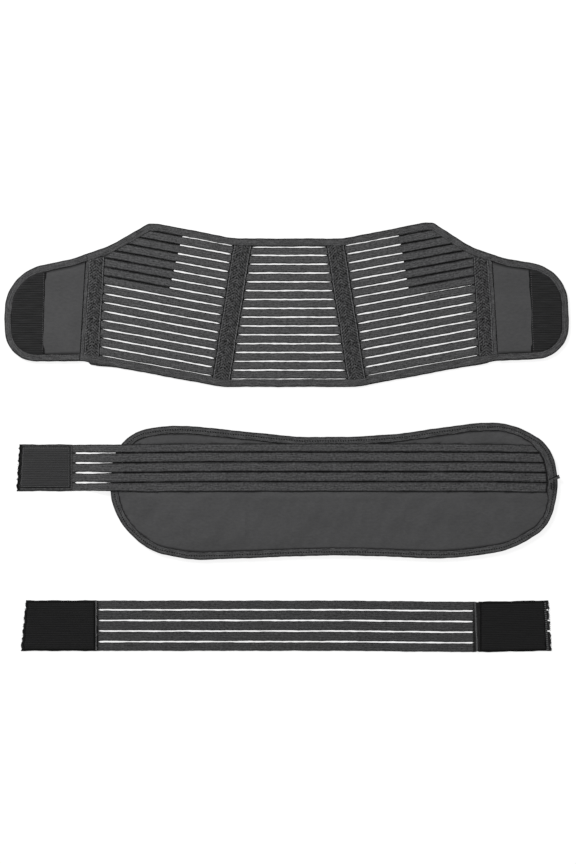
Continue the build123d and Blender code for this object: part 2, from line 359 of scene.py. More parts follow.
class Weave:
    """Builds one cloth material out of the weave coordinates, in millimetres."""

    def __init__(self, name):
        self.material = bpy.data.materials.new(name)
        self.material.use_nodes = True
        self.tree = self.material.node_tree
        self.tree.nodes.clear()
        self.out = self.node("ShaderNodeOutputMaterial")
        self.bsdf = self.node("ShaderNodeBsdfPrincipled")
        self.tree.links.new(self.bsdf.outputs[0], self.out.inputs[0])
        split = self.node("ShaderNodeSeparateXYZ")
        place = self.node("ShaderNodeUVMap")
        place.uv_map = "weave"
        self.tree.links.new(place.outputs[0], split.inputs[0])
        self.u, self.v = split.outputs[0], split.outputs[1]
        edge = self.node("ShaderNodeAttribute")
        edge.attribute_name = "edge"
        self.edge = edge.outputs["Fac"]

    def node(self, kind):
        return self.tree.nodes.new(kind)

    def feed(self, socket, value):
        if isinstance(value, bpy.types.NodeSocket):
            self.tree.links.new(value, socket)
        else:
            socket.default_value = value

    def calc(self, operation, *values):
        node = self.node("ShaderNodeMath")
        node.operation = operation
        for socket, value in zip(node.inputs, values):
            self.feed(socket, value)
        return node.outputs[0]

    def plus(self, *values):
        total = values[0]
        for value in values[1:]:
            total = self.calc("ADD", total, value)
        return total

    def times(self, a, b):
        return self.calc("MULTIPLY", a, b)

    def wave(self, value, pitch):
        """0 to 1 and back once for each pitch."""
        turn = self.calc("COSINE", self.times(value, 2 * math.pi / pitch))
        return self.calc("MULTIPLY_ADD", turn, 0.5, 0.5)

    def cloud(self, along, across, detail=3.0, seed=0.0):
        """Noise about 0 whose blotches are along by across millimetres."""
        spot = self.node("ShaderNodeCombineXYZ")
        self.feed(spot.inputs[0], self.times(self.u, 1 / along))
        self.feed(spot.inputs[1], self.times(self.v, 1 / across))
        spot.inputs[2].default_value = seed
        noise = self.node("ShaderNodeTexNoise")
        noise.inputs["Scale"].default_value = 1.0
        noise.inputs["Detail"].default_value = detail
        self.tree.links.new(spot.outputs[0], noise.inputs["Vector"])
        return self.calc("SUBTRACT", noise.outputs["Fac"], 0.5)

    def shaded(self, tone, depth):
        """Tone darkened by the edge value, which is 1 in full shade."""
        return self.times(tone, self.calc("SUBTRACT", 1.0, self.times(self.edge, depth)))

    def rimmed(self, tone):
        """Tone lightened by an edge value above zero and darkened by one below it."""
        return self.times(self.plus(tone, self.calc("MAXIMUM", self.edge, 0.0)),
                          self.plus(1.0, self.calc("MINIMUM", self.edge, 0.0)))

    def finish(self, colour, tone, height, depth, rough=0.88, sheen=0.2):
        """Ends the material: colour times tone, and bump of a depth in millimetres."""
        paint = self.node("ShaderNodeVectorMath")
        paint.operation = "SCALE"
        paint.inputs[0].default_value = colour
        self.feed(paint.inputs["Scale"], self.calc("MAXIMUM", tone, 0.03))
        self.tree.links.new(paint.outputs[0], self.bsdf.inputs["Base Color"])
        bump = self.node("ShaderNodeBump")
        bump.inputs["Distance"].default_value = depth * MM
        bump.inputs["Strength"].default_value = 1.0
        self.feed(bump.inputs["Height"], height)
        self.tree.links.new(bump.outputs[0], self.bsdf.inputs["Normal"])
        self.bsdf.inputs["Roughness"].default_value = rough
        self.bsdf.inputs["Specular IOR Level"].default_value = 0.1
        self.bsdf.inputs["Sheen Weight"].default_value = sheen
        self.bsdf.inputs["Sheen Roughness"].default_value = 0.45
        return self.material


GREY = (1.0, 1.0, 1.02)  # neutral charcoal cloth, scaled by each material's albedo


def shade(albedo):
    return tuple(albedo * c for c in GREY)


def elastic_material(name, albedo, rib):
    """Ribbed woven elastic: ribs along the strip, fine weft across it, streaky yarn."""
    w = Weave(name)
    ribs = w.wave(w.v, rib)
    weft = w.wave(w.plus(w.u, w.times(ribs, 0.45)), 0.95)
    grain = w.cloud(4.2, 1.5, 3.0)
    bands = w.cloud(1.5, 5.0, 2.0, seed=7)
    streaks = w.cloud(30, 1.6, seed=3)
    tone = w.plus(0.86, w.times(ribs, 0.16), w.times(weft, 0.08), w.times(grain, 2.3),
                  w.times(bands, 1.0), w.times(streaks, 1.2))
    tone = w.shaded(tone, 0.93)
    height = w.plus(w.times(ribs, 0.6), w.times(weft, 0.4), w.times(grain, 1.0))
    return w.finish(shade(albedo), tone, height, 0.3)


def herringbone_material():
    """Herringbone tape: one chevron across its width, flecked, with lighter edge yarns.

    Its edge value is above zero on the light yarns and below zero where shade is painted along its
    borders and in a groove inside them.
    """
    w = Weave("herringbone_tape")
    flecks = w.cloud(2.8, 2.1, 2.0)
    slant = w.plus(w.u, w.times(w.calc("ABSOLUTE", w.v), 0.8), w.times(flecks, 2.2))
    bars = w.calc("POWER", w.wave(slant, 4.2), 1.5)
    patchy = w.cloud(9, 5, 2.0, seed=5)
    strong = w.calc("MAXIMUM", w.plus(0.75, w.times(patchy, 3.2)), 0.1)
    tone = w.plus(0.5, w.times(w.times(bars, strong), 1.1), w.times(flecks, 4.2))
    tone = w.rimmed(tone)
    height = w.plus(w.times(bars, 0.9), w.times(flecks, 0.8))
    return w.finish(shade(0.044), tone, height, 0.4)


def binding_material():
    """Knitted fold-over binding: fine wales along the tape and soft blotches."""
    w = Weave("binding_tape")
    wales = w.wave(w.v, 2.4)
    loops = w.wave(w.plus(w.u, w.times(wales, 0.5)), 1.1)
    streaks = w.cloud(14, 1.5, seed=8)
    grain = w.cloud(2.6, 1.6, 3.0)
    soft = w.cloud(11, 7, 2.0, seed=2)
    tone = w.plus(0.84, w.times(wales, 0.16), w.times(loops, 0.08), w.times(streaks, 1.9),
                  w.times(grain, 2.0), w.times(soft, 0.7))
    tone = w.shaded(tone, 0.93)
    height = w.plus(w.times(wales, 0.5), w.times(loops, 0.3), w.times(grain, 0.7))
    return w.finish(shade(0.061), tone, height, 0.25)


def brushed_material(name, albedo, nap):
    """Brushed knit with a short nap: fine, soft, nearly even."""
    w = Weave(name)
    fuzz = w.cloud(0.9, 0.9, 4.0)
    lay = w.cloud(6.0, 3.0, 3.0, seed=4)
    broad = w.cloud(60, 35, 2.0, seed=6)
    tone = w.plus(0.98, w.times(fuzz, nap), w.times(lay, 0.4), w.times(broad, 0.35))
    tone = w.shaded(tone, 0.86)
    height = w.plus(w.times(fuzz, 0.8), w.times(lay, 0.6))
    return w.finish(shade(albedo), tone, height, 0.2, rough=0.95, sheen=0.25)


def hook_material(name, albedo, pitch, wear=1.5):
    """Hook tape: close rows of stiff moulded hooks, slightly glossy, worn in places.

    Its edge value is above zero on a pressed pale rim and below zero in a dark one.
    """
    w = Weave(name)
    rows = w.wave(w.v, pitch)
    teeth = w.wave(w.plus(w.u, w.times(rows, 0.5)), 1.2)
    worn = w.cloud(26, 2.2, 2.0, seed=9)
    tone = w.plus(0.72, w.times(rows, 0.35), w.times(teeth, 0.2), w.times(worn, wear))
    tone = w.rimmed(tone)
    height = w.plus(w.times(rows, 0.8), w.times(teeth, 0.45))
    return w.finish(shade(albedo), tone, height, 0.4, rough=0.7, sheen=0.05)


def thread_material(name, albedo):
    """Twisted polyester sewing thread."""
    w = Weave(name)
    twist = w.wave(w.plus(w.u, w.times(w.v, 0.6)), 0.6)
    tone = w.plus(0.85, w.times(twist, 0.3))
    return w.finish(shade(albedo), tone, twist, 0.08, rough=0.7, sheen=0.05)


def foam_material():
    """Fine open-cell foam."""
    w = Weave("foam_core")
    cells = w.cloud(0.6, 0.6, 2.0)
    tone = w.plus(0.9, w.times(cells, 0.8))
    return w.finish(shade(0.09), tone, cells, 0.3, rough=0.95)


def plastic_material():
    """Flat boning with drawn lines along it."""
    w = Weave("stay_plastic")
    lines = w.cloud(40, 0.35, 2.0)
    tone = w.plus(1.0, w.times(lines, 0.3))
    return w.finish((0.35, 0.35, 0.36), tone, lines, 0.04, rough=0.35, sheen=0.0)


ELASTIC = elastic_material("brace_elastic", 0.064, 2.7)
BAND_WEB = elastic_material("band_webbing", 0.060, 3.1)
STRAP_WEB = elastic_material("strap_webbing", 0.046, 3.1)
# Near-black webbing: the strap's end webbing in its own colour, and painted shade at the slot ends
# of the brace's elastic.
DARK_WEB_AND_SHADE = elastic_material("dark_webbing_and_painted_shade", 0.011, 2.7)
HERRINGBONE = herringbone_material()
BINDING = binding_material()
LOOP = brushed_material("loop_face", 0.062, 0.35)
# Near black: painted shade on the loop patch, which is seen only through the slots.
PAINTED_SHADE_LOOP = brushed_material("loop_patch_painted_shade", 0.008, 0.6)
PAD_FRONT = brushed_material("pad_front_fabric", 0.062, 0.3)
LINING = brushed_material("back_lining", 0.050, 0.45)
TAB_HOOK = hook_material("tab_hook_tape", 0.017, 3.3)
TAIL_HOOK = hook_material("tail_hook_tape", 0.034, 2.6, 0.5)
STRAP_HOOK = hook_material("strap_hook_tape", 0.0095, 2.6, 0.7)
THREAD = thread_material("thread_grey", 0.12)
DARK_THREAD = thread_material("thread_dark", 0.008)
FOAM = foam_material()
STAY = plastic_material()


# --- Putting pieces on bodies ------------------------------------------------------------

def joint(name):
    return next(j for j in frame["joints"] if j["name"] == name)


def fold(name, reach):
    """Bodies and points for cloth that bends at a hinge, over a reach beyond its axis."""
    j = joint(name)
    start = np.array(j["pos_m"])
    outwards = np.cross((0.0, 0.0, 1.0), j["axis"])
    return j["parent"], j["child"], start, start + outwards * reach * MM


def stretch(name, end, way, reach):
    """Bodies and points for elastic that stretches over a reach that stops at end."""
    j = joint(name)
    end = np.array((*end, 0.0)) * MM
    way = unit(np.array((*way, 0.0)))
    return j["parent"], j["child"], end - way * reach * MM, end


def put(piece, materials, slot, nodes, body=None, across=None):
    """Makes a piece's object and hides the CAD nodes that it takes the place of; puts it on its
    body, or leaves it where it is when it lies across a joint.
    """
    obj = piece.build(materials)
    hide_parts(*nodes)
    if across:
        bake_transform(obj)
    else:
        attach(obj, body)
    return obj


# --- Parts that repeat -------------------------------------------------------------------

RIB_COLUMNS = np.array((0.0, 0.025, 0.07, 0.16, 0.27, 0.38, 0.5,
                        0.62, 0.73, 0.84, 0.93, 0.975, 1.0))
RIB_RISE, RIB_PITCH = 0.14, 2.7
THREAD_SLOT = SHADE_SLOT = 1  # second material of a piece: its thread, or the near-black webbing that is painted shade at slot ends
BINDING_CLOTH = 0.55  # thickness of a binding's cloth
BINDING_SEED = 50


def strip(piece, place, u, width, low, high, seed, sway=0.1, rim=1.0, ends=(0.0, 0.0)):
    """One ribbed elastic strip.

    place(u, t) gives x, y at u along the strip and t from 0 to 1 across it; low and high
    are the heights of its underside and its face, numbers or one for each u.  Its long
    edges are shaded by rim, and ends is how far it lies in shade at its start and end.
    """
    grid_u, grid_t = grid(u, RIB_COLUMNS)
    shift = sway * (1.2 * ripple(grid_u, 47, seed) + 0.7 * ripple(grid_u, 13, seed + 1))
    pinch = sway * (1.6 * ripple(grid_u, 29, seed + 2) + 1.2 * ripple(grid_u, 6, seed + 3))
    across = grid_t + (shift + pinch * (2 * grid_t - 1)) / width
    x, y = place(grid_u, across)
    rounding = (1 - np.abs(2 * grid_t - 1) ** 5) ** 0.5
    ribs = RIB_RISE * np.cos((grid_t - 0.5) * width * 2 * np.pi / RIB_PITCH)
    wave = 0.12 * ripple(grid_u, 60, seed + 4) + 0.07 * ripple(grid_u, 17, seed + 5)
    low, high = (np.broadcast_to(h, np.shape(u))[:, None] + 0 * grid_t for h in (low, high))
    middle = (low + high) / 2
    half = (high - low) / 2
    top = middle + half * (0.25 + 0.75 * rounding) + ribs * rounding + wave
    bottom = middle - half * (0.25 + 0.75 * rounding) + np.maximum(wave, -0.1)
    uv = pair(grid_u, (grid_t - 0.5) * width + 37 * seed)
    side_gap = np.minimum(grid_t, 1 - grid_t) * width
    shaded = rim * smooth((1.5 - side_gap) / 1.1)
    for far, length in ((np.abs(grid_u - u[0]), ends[0]), (np.abs(grid_u - u[-1]), ends[1])):
        if length:
            shaded = np.maximum(shaded, smooth((length + 0.8 - far) / 1.6))
    piece.lay(x, y, top, bottom, uv, shaded)


def stations(start, end, step):
    return np.linspace(start, end, max(2, int(round(abs(end - start) / step)) + 1))


def fine_stations(start, end, step):
    """Stations that are closer together near both ends."""
    way = math.copysign(11, end - start)
    return np.concatenate([stations(start, start + way, 1.1)[:-1],
                           stations(start + way, end - way, step)[:-1],
                           stations(end - way, end, 1.1)])


def binding(piece, rim, start, end, width, low, high, seed, lift, flare=None, dark=None,
            dots=False, line=0.35, wider=None):
    """Fold-over binding along the outline from start to end, with its row of stitches.

    lift(s) raises its upper leg where it runs over something, flare(s) moves its outer
    edge outwards, wider(s) its inner edge inwards, and dark(x, y) is where it lies in
    shade.  Its inner edge is shaded by line.  Its stitches are a grey row near the inner
    edge, or dark dots along the middle.
    """
    if end < start:
        end += rim.total
    s = stations(start, end, 2.2)
    q = np.mod(s, rim.total)
    up = lift(q)
    out = flare(q) if flare else 0 * s
    middle = (low + high) / 2
    half = (high - low) / 2
    inner_edge = width + 0.3 * ripple(q, 19, seed) + 0.18 * ripple(q, 6, seed + 1)
    if wider:
        inner_edge = inner_edge + wider(q)
    outer_edge = -0.2 * ripple(q, 34, seed + 2) - 0.1 * ripple(q, 8, seed + 3) - out
    puff = 0.28 + 0.14 * ripple(q, 9, seed + 4)
    # Each column is (distance in, height, edge value).  The edge values are painted shade: on the
    # rolled outer edge, a little beside it, in the crease of the face and around the dots, and by
    # line along the inner edge.
    columns = [(t * inner_edge, low + 0 * s, 0.0) for t in (1.0, 0.72, 0.45)]
    round_r = 1.5
    for a in np.radians((-90, -62, -30, 0, 30, 62, 90)):
        bulge = np.where(a > 0, puff + up * 0.3, 0)
        columns.append((outer_edge + round_r * (1 - np.cos(a)),
                        middle + half * np.sin(a) + bulge * np.sin(max(a, 0)),
                        0.7 + 0.3 * np.cos(a) ** 0.5))
    face = [(0.19, 1.0, 0.1), (0.34, 1.0, 0.0), (0.52, 0.9, 0.0), (0.66, 0.5, 0.05),
            (0.74, 0.05, 0.2), (0.82, 0.4, 0.0), (0.89, 0.3, 0.1 * line),
            (0.95, 0.1, line), (1.0, -0.15, line)]
    if dots:
        face[2:4] = [(0.44, 0.6, 0.1), (0.52, 0.5, 0.15), (0.6, 0.75, 0.0), (0.68, 0.8, 0.0)]
    for t, rise, shaded in face:
        columns.append((t * inner_edge, high + puff * rise + up * smooth(t * 1.6), shaded))
    n = np.stack([c[0] for c in columns], 1)
    z = np.stack([c[1] for c in columns], 1)
    way_n = np.gradient(n, axis=1)
    way_z = np.gradient(z, axis=1)
    size = np.hypot(way_n, way_z) + 1e-9
    x, y = rim.at(s[:, None] + 0 * n, n)
    x2, y2 = rim.at(s[:, None] + 0 * n, n + way_z / size * BINDING_CLOTH)
    z2 = z - way_n / size * BINDING_CLOTH
    run = np.concatenate([np.zeros((len(s), 1)),
                          np.cumsum(np.hypot(np.diff(n), np.diff(z)), axis=1)], axis=1)
    uv = pair(q[:, None] + 0 * n, run)
    value = np.broadcast_to([c[2] for c in columns], n.shape)
    if dark:
        value = np.maximum(value, dark(x, y))
    piece.slab(xyz(x, y, z), xyz(x2, y2, z2), uv, value)
    pitch, length, radius, place = (3.7, 1.9, 0.9, 0.5) if dots else (3.3, 2.3, 0.24, 0.8)
    a = np.arange(math.ceil(start / pitch) * pitch, end - length, pitch)
    wobble = 0.25 * ripple(np.mod(a, rim.total), 23, seed + 6)
    rise = np.interp(a, s, up) + high + (0.1 if dots else 0.2)
    ax, ay = rim.at(a, width * place + wobble)
    bx, by = rim.at(a + length, width * place + wobble)
    piece.threads(xyz(ax, ay, rise), xyz(bx, by, rise), radius, THREAD_SLOT)


def panel(piece, x, low_y, high_y, top, bottom, columns, edge=None, shift=None):
    """Closed panel between two edge lines; top, edge and shift are functions of x and y."""
    t = (1 - np.cos(np.linspace(0, np.pi, columns))) / 2
    t = lerp(np.linspace(0, 1, columns), t, 0.5)
    grid_x = np.broadcast_to(x[:, None], (len(x), columns))
    grid_y = low_y[:, None] + (high_y - low_y)[:, None] * t
    if shift:
        grid_x = grid_x + shift(grid_x, grid_y)
    high = top(grid_x, grid_y)
    uv = pair(grid_x, grid_y)
    value = 0.0 if edge is None else edge(grid_x, grid_y)
    piece.lay(grid_x, grid_y, high, bottom, uv, value)


def tape(piece, start, end, width, low, profile, seed, taper=0.0):
    """Straight tape from start to end. profile is (t across, height, edge value) triples."""
    way, aside = directions(start, end)
    length = math.dist(start, end)
    u = stations(0, length, 2.0)
    t = np.array([p[0] for p in profile])
    rise = np.array([p[1] for p in profile])
    edge = np.array([p[2] for p in profile])
    grid_u, grid_t = grid(u, t)
    sway = 0.3 * ripple(grid_u, 40, seed) + 0.22 * ripple(grid_u, 8, seed + 1) * (2 * grid_t - 1)
    off = (grid_t - 0.5) * width + sway
    x = start[0] + way[0] * grid_u + aside[0] * off
    y = start[1] + way[1] * grid_u + aside[1] * off
    fade = smooth(np.minimum(grid_u, length - grid_u) / 7) if taper else 1.0
    top = low + rise[None, :] * (1 - taper + taper * fade)
    top = top + 0.12 * ripple(grid_u, 11, seed + 2) * smooth(rise[None, :])
    uv = pair(grid_u, (grid_t - 0.5) * width)
    piece.lay(x, y, top, low, uv, edge[None, :])


def stitch_row(piece, start, end, height, pitch=3.2, length=2.2, radius=0.22, seed=1):
    """Straight row of stitches from start to end at a height."""
    way, aside = directions(start, end)
    a = np.arange(0.4, math.dist(start, end) - length, pitch)
    wobble = (0.2 * ripple(a, 27, seed))[:, None] * aside
    first = start + a[:, None] * way + wobble
    last = first + way * length
    z = np.full((len(a), 1), height)
    piece.threads(np.hstack([first, z]), np.hstack([last, z]), radius, THREAD_SLOT)


def fray(piece, x, low_y, high_y, z, out, count, seed, slot=0, lean=0.0):
    """Loose yarn ends at a cut edge of webbing, pointing along out (+1 or -1 in x)."""
    r = np.random.default_rng(seed)
    y = np.sort(r.uniform(low_y, high_y, count))
    start = xyz(x + lean * (y - low_y) / (high_y - low_y) - out * 0.8, y,
                z + r.uniform(-0.3, 0.3, count))
    reach = r.uniform(1.0, 2.6, count)
    end = start + xyz(out * reach, r.uniform(-1.1, 1.1, count), -0.25 * reach * 0.4)
    end[:, 2] = np.maximum(end[:, 2], 0.25)
    piece.threads(start, end, 0.24, slot, hump=0.0)


# --- Back brace --------------------------------------------------------------------------

def brace_half(side):
    """One half of the brace's outline, from its lower edge up to its top edge."""
    left_tab = [(410, 36.3, 46), (413, 98, 150), (408.5, 165.5, 67)]
    right_tab = [(404, 42.5, 48), (406, 95, 150), (403, 172, 62)]
    left_peak = [(203.5, 237, 12), (189, 236.8, 60)]
    right_peak = [(209.5, 238.6, 12), (196, 238.5, 60)]
    return [
        (98, 0, 120),
        (300, 37.5, 80),
        *(left_tab if side < 0 else right_tab),
        (314, 186, 90),
        (262, 204, 90),
        *(left_peak if side < 0 else right_peak),
        (79, 215.4, 150),
    ]


def brace_point(side, x, y):
    return BRACE_X + side * x, BRACE_Y + y


def seam_x(seam, y):
    """Distance of a slanted seam from the brace's centreline at height y above its foot."""
    return seam[0] + seam[1] * y


def seam_point(side, seam, y):
    return brace_point(side, seam_x(seam, y), y)


right_half = [(*brace_point(1, x, y), r) for x, y, r in brace_half(1)]
left_half = [(*brace_point(-1, x, y), r) for x, y, r in brace_half(-1)]
BRACE_RIM = Rim(right_half + left_half[::-1])


def beyond(side, seam):
    """A function of x and y that is positive beyond a seam on one side of the brace."""
    def value(x, y):
        return side * (x - BRACE_X) - seam_x(seam, y - BRACE_Y)
    return value


CUTS = {
    (side, name, upper): BRACE_RIM.crossing(beyond(side, seam), upper)
    for side in (-1, 1)
    for name, seam in (("wrap", WRAP), ("split", (SPLIT_X, 0.0)), ("tab", TAB))
    for upper in (False, True)
}


def over_casings(s):
    """How far the binding is raised where it runs over the ends of the casings."""
    total = 0 * s
    for side in (-1, 1):
        for seam, width in ((BACK_AXIS, CASING_W), (OUTER_AXIS, OUTER_CASING_W)):
            for upper in (False, True):
                middle = BRACE_RIM.crossing(beyond(side, seam), upper)
                gap = np.abs(BRACE_RIM.nearest(s - middle))
                total = total + 1.0 * smooth((width / 2 + 5 - gap) / 7)
    return total


def casing_step(s):
    """The side bindings end in a small step below the outer casings."""
    total = 0 * s
    for side in (-1, 1):
        middle = BRACE_RIM.crossing(beyond(side, (TAB[0] - 22, TAB[1])), False)
        gap = BRACE_RIM.nearest((s - middle) * side)
        size = 3.0 if side < 0 else 0.9
        total = total + size * smooth((gap + 34) / 30) * smooth((9 - gap) / 4)
    return total


ELASTIC_LOW, ELASTIC_HIGH = level("center_elastic")
BINDING_HIGH = level("center_binding")[1]


def brace_binding(piece, start, end, high, line=0.35):
    binding(piece, BRACE_RIM, start, end, BINDING_W, 0.1, high - 0.1, BINDING_SEED, over_casings,
            casing_step, line=line)


def slot_end_shade(piece, side, seam, inset, outset, low_y, high_y):
    """Near-black ribbon under a slotted panel that closes its slots beside a seam: painted shade
    in the slot ends.
    """
    y = stations(low_y, high_y, 8)
    t = np.linspace(-inset, outset, 3)
    grid_y, grid_t = grid(y, t)
    x = BRACE_X + side * (seam_x(seam, grid_y) + grid_t)
    uv = pair(grid_y, grid_t)
    wave = 0.12 * ripple(grid_y, 12, 5)
    piece.lay(x, BRACE_Y + grid_y, 1.45 + wave, 0.8, uv, 0.0, SHADE_SLOT)


def slot_gap(k):
    """Open width between strips k and k + 1: the outermost slots are drawn in."""
    return {0: 1.4, STRIPS - 2: 0.8}.get(k, OPEN_W)


def centre_slot(k, x):
    """Height and open width of a centre slot, which is drawn in beside the casings."""
    y = TOP_SLOT_Y - k * SLOT_PITCH - (1.0 if k == 0 else 0.0)
    beside = seam_x(WRAP, y) - CASING_W + 0.5 - np.abs(x)
    return y, slot_gap(k) * (0.08 + 0.92 * smooth(beside / 7))


def centre_elastic():
    piece = Piece("center_elastic_strips")
    for k in range(STRIPS):
        middle = TOP_SLOT_Y - (k - 0.5) * SLOT_PITCH
        reach = seam_x(WRAP, middle) - 2.4

        def place(u, t, k=k, middle=middle, reach=reach):
            above, gap_above = centre_slot(k - 1, u)
            below, gap_below = centre_slot(k, u)
            head = middle + 2.1 if k == 0 else above - gap_above / 2
            foot = middle - 2.1 if k == STRIPS - 1 else below + gap_below / 2
            y = lerp(foot, head, t)
            return BRACE_X + u * (seam_x(WRAP, y) - 2.4) / reach, BRACE_Y + y

        strip(piece, place, stations(-reach, reach, 3.0), 8.5 if k in (0, STRIPS - 1) else 11,
              ELASTIC_LOW, ELASTIC_HIGH, 100 + 7 * k)
    for side in (-1, 1):
        slot_end_shade(piece, side, BACK_CASING, 1.6, 3, *BACK_SEAM_Y)
    put(piece, [ELASTIC, DARK_WEB_AND_SHADE], "slotted_elastic", ["center_elastic"], body="brace_center")


def patch_floor(side, x):
    """Lower edge of a side panel's loop patch: steep beside the casing, then with the slots."""
    steep = 4.1 if side < 0 else 5.6
    return np.maximum(137 + SIDE_SLOPE * (x - 175.5), 140 + steep * (174 - x))


def side_slot(side, k, x):
    """Height and open width of a side slot, which is drawn in at both of its ends."""
    y = SIDE_SLOT_Y - k * SIDE_PITCH + SIDE_SLOPE * (x - SIDE_SLOT_X)
    casing_x = seam_x(TAB, y) - SEAM_TAPE_W - OUTER_CASING_W
    open_w = slot_gap(k) * (1 - 0.5 * smooth((y - patch_floor(side, x)) / 5 + 0.5))
    if side > 0 and k == 7:
        open_w = lerp(open_w, 0.45, smooth((x - 185) / 25))
    ends = smooth((x - seam_x(WRAP, y) - 0.5) / 5.5) * smooth((casing_x + 1 - x) / 13)
    return y, open_w * (0.06 + 0.94 * ends)


def side_elastic(side, word, inner):
    """Half of a side panel's strips: the inner ones by the centre casing, or the outer rest."""
    part = "inner" if inner else "outer"
    piece = Piece(f"{word}_side_elastic_{part}")
    slope = math.hypot(1, SIDE_SLOPE)
    for k in range(STRIPS):
        def edges(x, k=k):
            floor, roof = BRACE_RIM.heights(BRACE_X + side * x, 4.0)
            above, gap_above = side_slot(side, k - 1, x)
            below, gap_below = side_slot(side, k, x)
            return (np.maximum(below + gap_below / 2, floor - BRACE_Y),
                    np.minimum(above - gap_above / 2, roof - BRACE_Y))

        middle = SIDE_SLOT_Y - (k - 0.5) * SIDE_PITCH - SIDE_SLOPE * SIDE_SLOT_X
        start = (seam_x(WRAP, middle) - 1.8) / (1 - WRAP[1] * SIDE_SLOPE)
        end = (seam_x(TAB, middle) - 1.2) / (1 - TAB[1] * SIDE_SLOPE)
        along = np.arange(SPLIT_X, end, 0.5)
        low, high = edges(along)
        thin = np.nonzero(high - low < 1.2)[0]
        if len(thin):
            end = along[thin[0]]
        x = stations(start, SPLIT_X, 3.0) if inner else stations(SPLIT_X, end, 3.4)

        def place(u, t, edges=edges, start=start):
            along = u / slope
            low, high = edges(along)
            y = lerp(low, high, t)
            slant = smooth((start + 8 - along) / 8) * WRAP[1] * (y - (low + high) / 2)
            return BRACE_X + side * (along + slant), BRACE_Y + y

        strip(piece, place, x * slope, SIDE_PITCH - OPEN_W, ELASTIC_LOW, ELASTIC_HIGH,
              300 + 7 * k + 150 * side, ends=(2.2, 0) if inner else (0, 0))
    if inner:
        slot_end_shade(piece, side, WRAP, 1, 1.9, *BACK_SEAM_Y)
        across = fold(f"{word}_wrap", REACH["wrap"])
    else:
        slot_end_shade(piece, side, OUTER_CASING, 2.4, 3, 42, 188)
        slot_end_shade(piece, side, TAB, 9, 2, 42, 182)
        end = seam_point(side, OUTER_CASING, SEAM_MIDDLE)
        across = stretch(f"{word}_side_stretch", end, (side, -TAB[1]), REACH["side_stretch"])
    put(piece, [ELASTIC, DARK_WEB_AND_SHADE], "slotted_elastic", [f"{word}_side_elastic"], across=across)
    return across


def side_binding(side, word, inner, across):
    part = "inner" if inner else "outer"
    piece = Piece(f"{word}_side_binding_{part}")
    first, last = ("wrap", "split") if inner else ("split", "tab")
    for upper in (False, True):
        a, b = CUTS[side, first, upper], CUTS[side, last, upper]
        if (side > 0) == upper:
            a, b = b, a
        brace_binding(piece, a, b, BINDING_HIGH)
    put(piece, [BINDING, THREAD], "binding_tape", [f"{word}_side_binding"], across=across)


# Columns are (t across, height, edge value).  The edge value is above zero on the light edge yarns
# and the middle line, and below zero painted shade along the borders and in the groove inside the
# light yarns.
CASING_HALF = (
    (0.0, 0.25, -1.0), (0.02, 0.5, -1.0), (0.04, 0.6, -0.9), (0.055, 0.64, 1.3),
    (0.085, 0.62, 1.5), (0.105, 0.5, 0.0), (0.14, 0.55, -0.2), (0.19, 0.8, 0.0),
    (0.245, 1.38, 0.0), (0.3, 1.48, 0.0), (0.4, 1.52, 0.0),
)
CASING_PROFILE = (*CASING_HALF, (0.47, 1.54, 0.0), (0.5, 1.54, 0.45), (0.53, 1.54, 0.0),
                  *((1 - t, z, e) for t, z, e in reversed(CASING_HALF)))


def casing(side, name, seam, width, low_y, high_y, body, seed):
    """Herringbone casing along a slanted seam, two rows of stitches, and its stay."""
    piece = Piece(f"{name}_casing_tape")
    start = seam_point(side, seam, low_y)
    end = seam_point(side, seam, high_y)
    tape(piece, start, end, width, ELASTIC_HIGH + 0.05, CASING_PROFILE, seed, taper=0.45)
    way, aside = directions(start, end)
    for off in (-1, 1):
        shift = aside * off * (width * 0.435)
        inset = way * 6
        stitch_row(piece, np.array(start) + shift + inset, np.array(end) + shift - inset,
                   ELASTIC_HIGH + 0.74, seed=seed + off)
    put(piece, [HERRINGBONE, THREAD], "casing_tape", [f"{name}_casing"], body=body)

    bar = Piece(f"{name}_stay_bar")
    low, high = level(f"{name}_stay")
    box_low, box_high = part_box(f"{name}_stay")
    half_length = (box_high.y - box_low.y) / MM / 2 - 1.5
    middle = np.array(((box_low.x + box_high.x) / 2, (box_low.y + box_high.y) / 2)) / MM
    u = stations(-half_length, half_length, 3.0)
    t = np.linspace(0, 1, 7)
    grid_u, grid_t = grid(u, t)
    end_gap = np.minimum(grid_u + half_length, half_length - grid_u)
    half_width = 5.3 * np.sqrt(1 - (1 - np.clip(end_gap / 5.3, 0.04, 1)) ** 2)
    off = (2 * grid_t - 1) * half_width
    x = middle[0] + way[0] * grid_u + aside[0] * off
    y = middle[1] + way[1] * grid_u + aside[1] * off
    uv = pair(grid_u, off)
    bar.lay(x, y, high - 0.25, low - 0.1, uv)
    put(bar, [STAY], "stay_plastic", [f"{name}_stay"], body=body)


def loop_patch(side, word):
    """Loop fabric behind the upper outer part of a side panel, near black as painted shade, for it
    is seen only through the slots.
    """
    piece = Piece(f"{word}_loop_patch_cloth")
    x = stations(152 if side < 0 else 159, 272, 3.0)
    floor = patch_floor(side, x)
    roof = BRACE_RIM.heights(BRACE_X + side * x, BINDING_W - 1.5)[1] - BRACE_Y
    floor = np.minimum(floor, roof - 1)
    low, high = level(f"{word}_loop_patch")

    def top(gx, gy):
        return high - 0.12 + 0.06 * swell(gx, gy, 20, 12)

    panel(piece, BRACE_X + side * x, BRACE_Y + floor, BRACE_Y + roof, top, low + 0.02, 26)
    obj = put(piece, [PAINTED_SHADE_LOOP], "loop_fabric", [f"{word}_loop_patch"], body=f"{word}_side")


def tab_reach(side):
    """Distance of a tab's tip from the brace's centreline."""
    return (side * (BRACE_RIM.p[:, 0] - BRACE_X)).max()


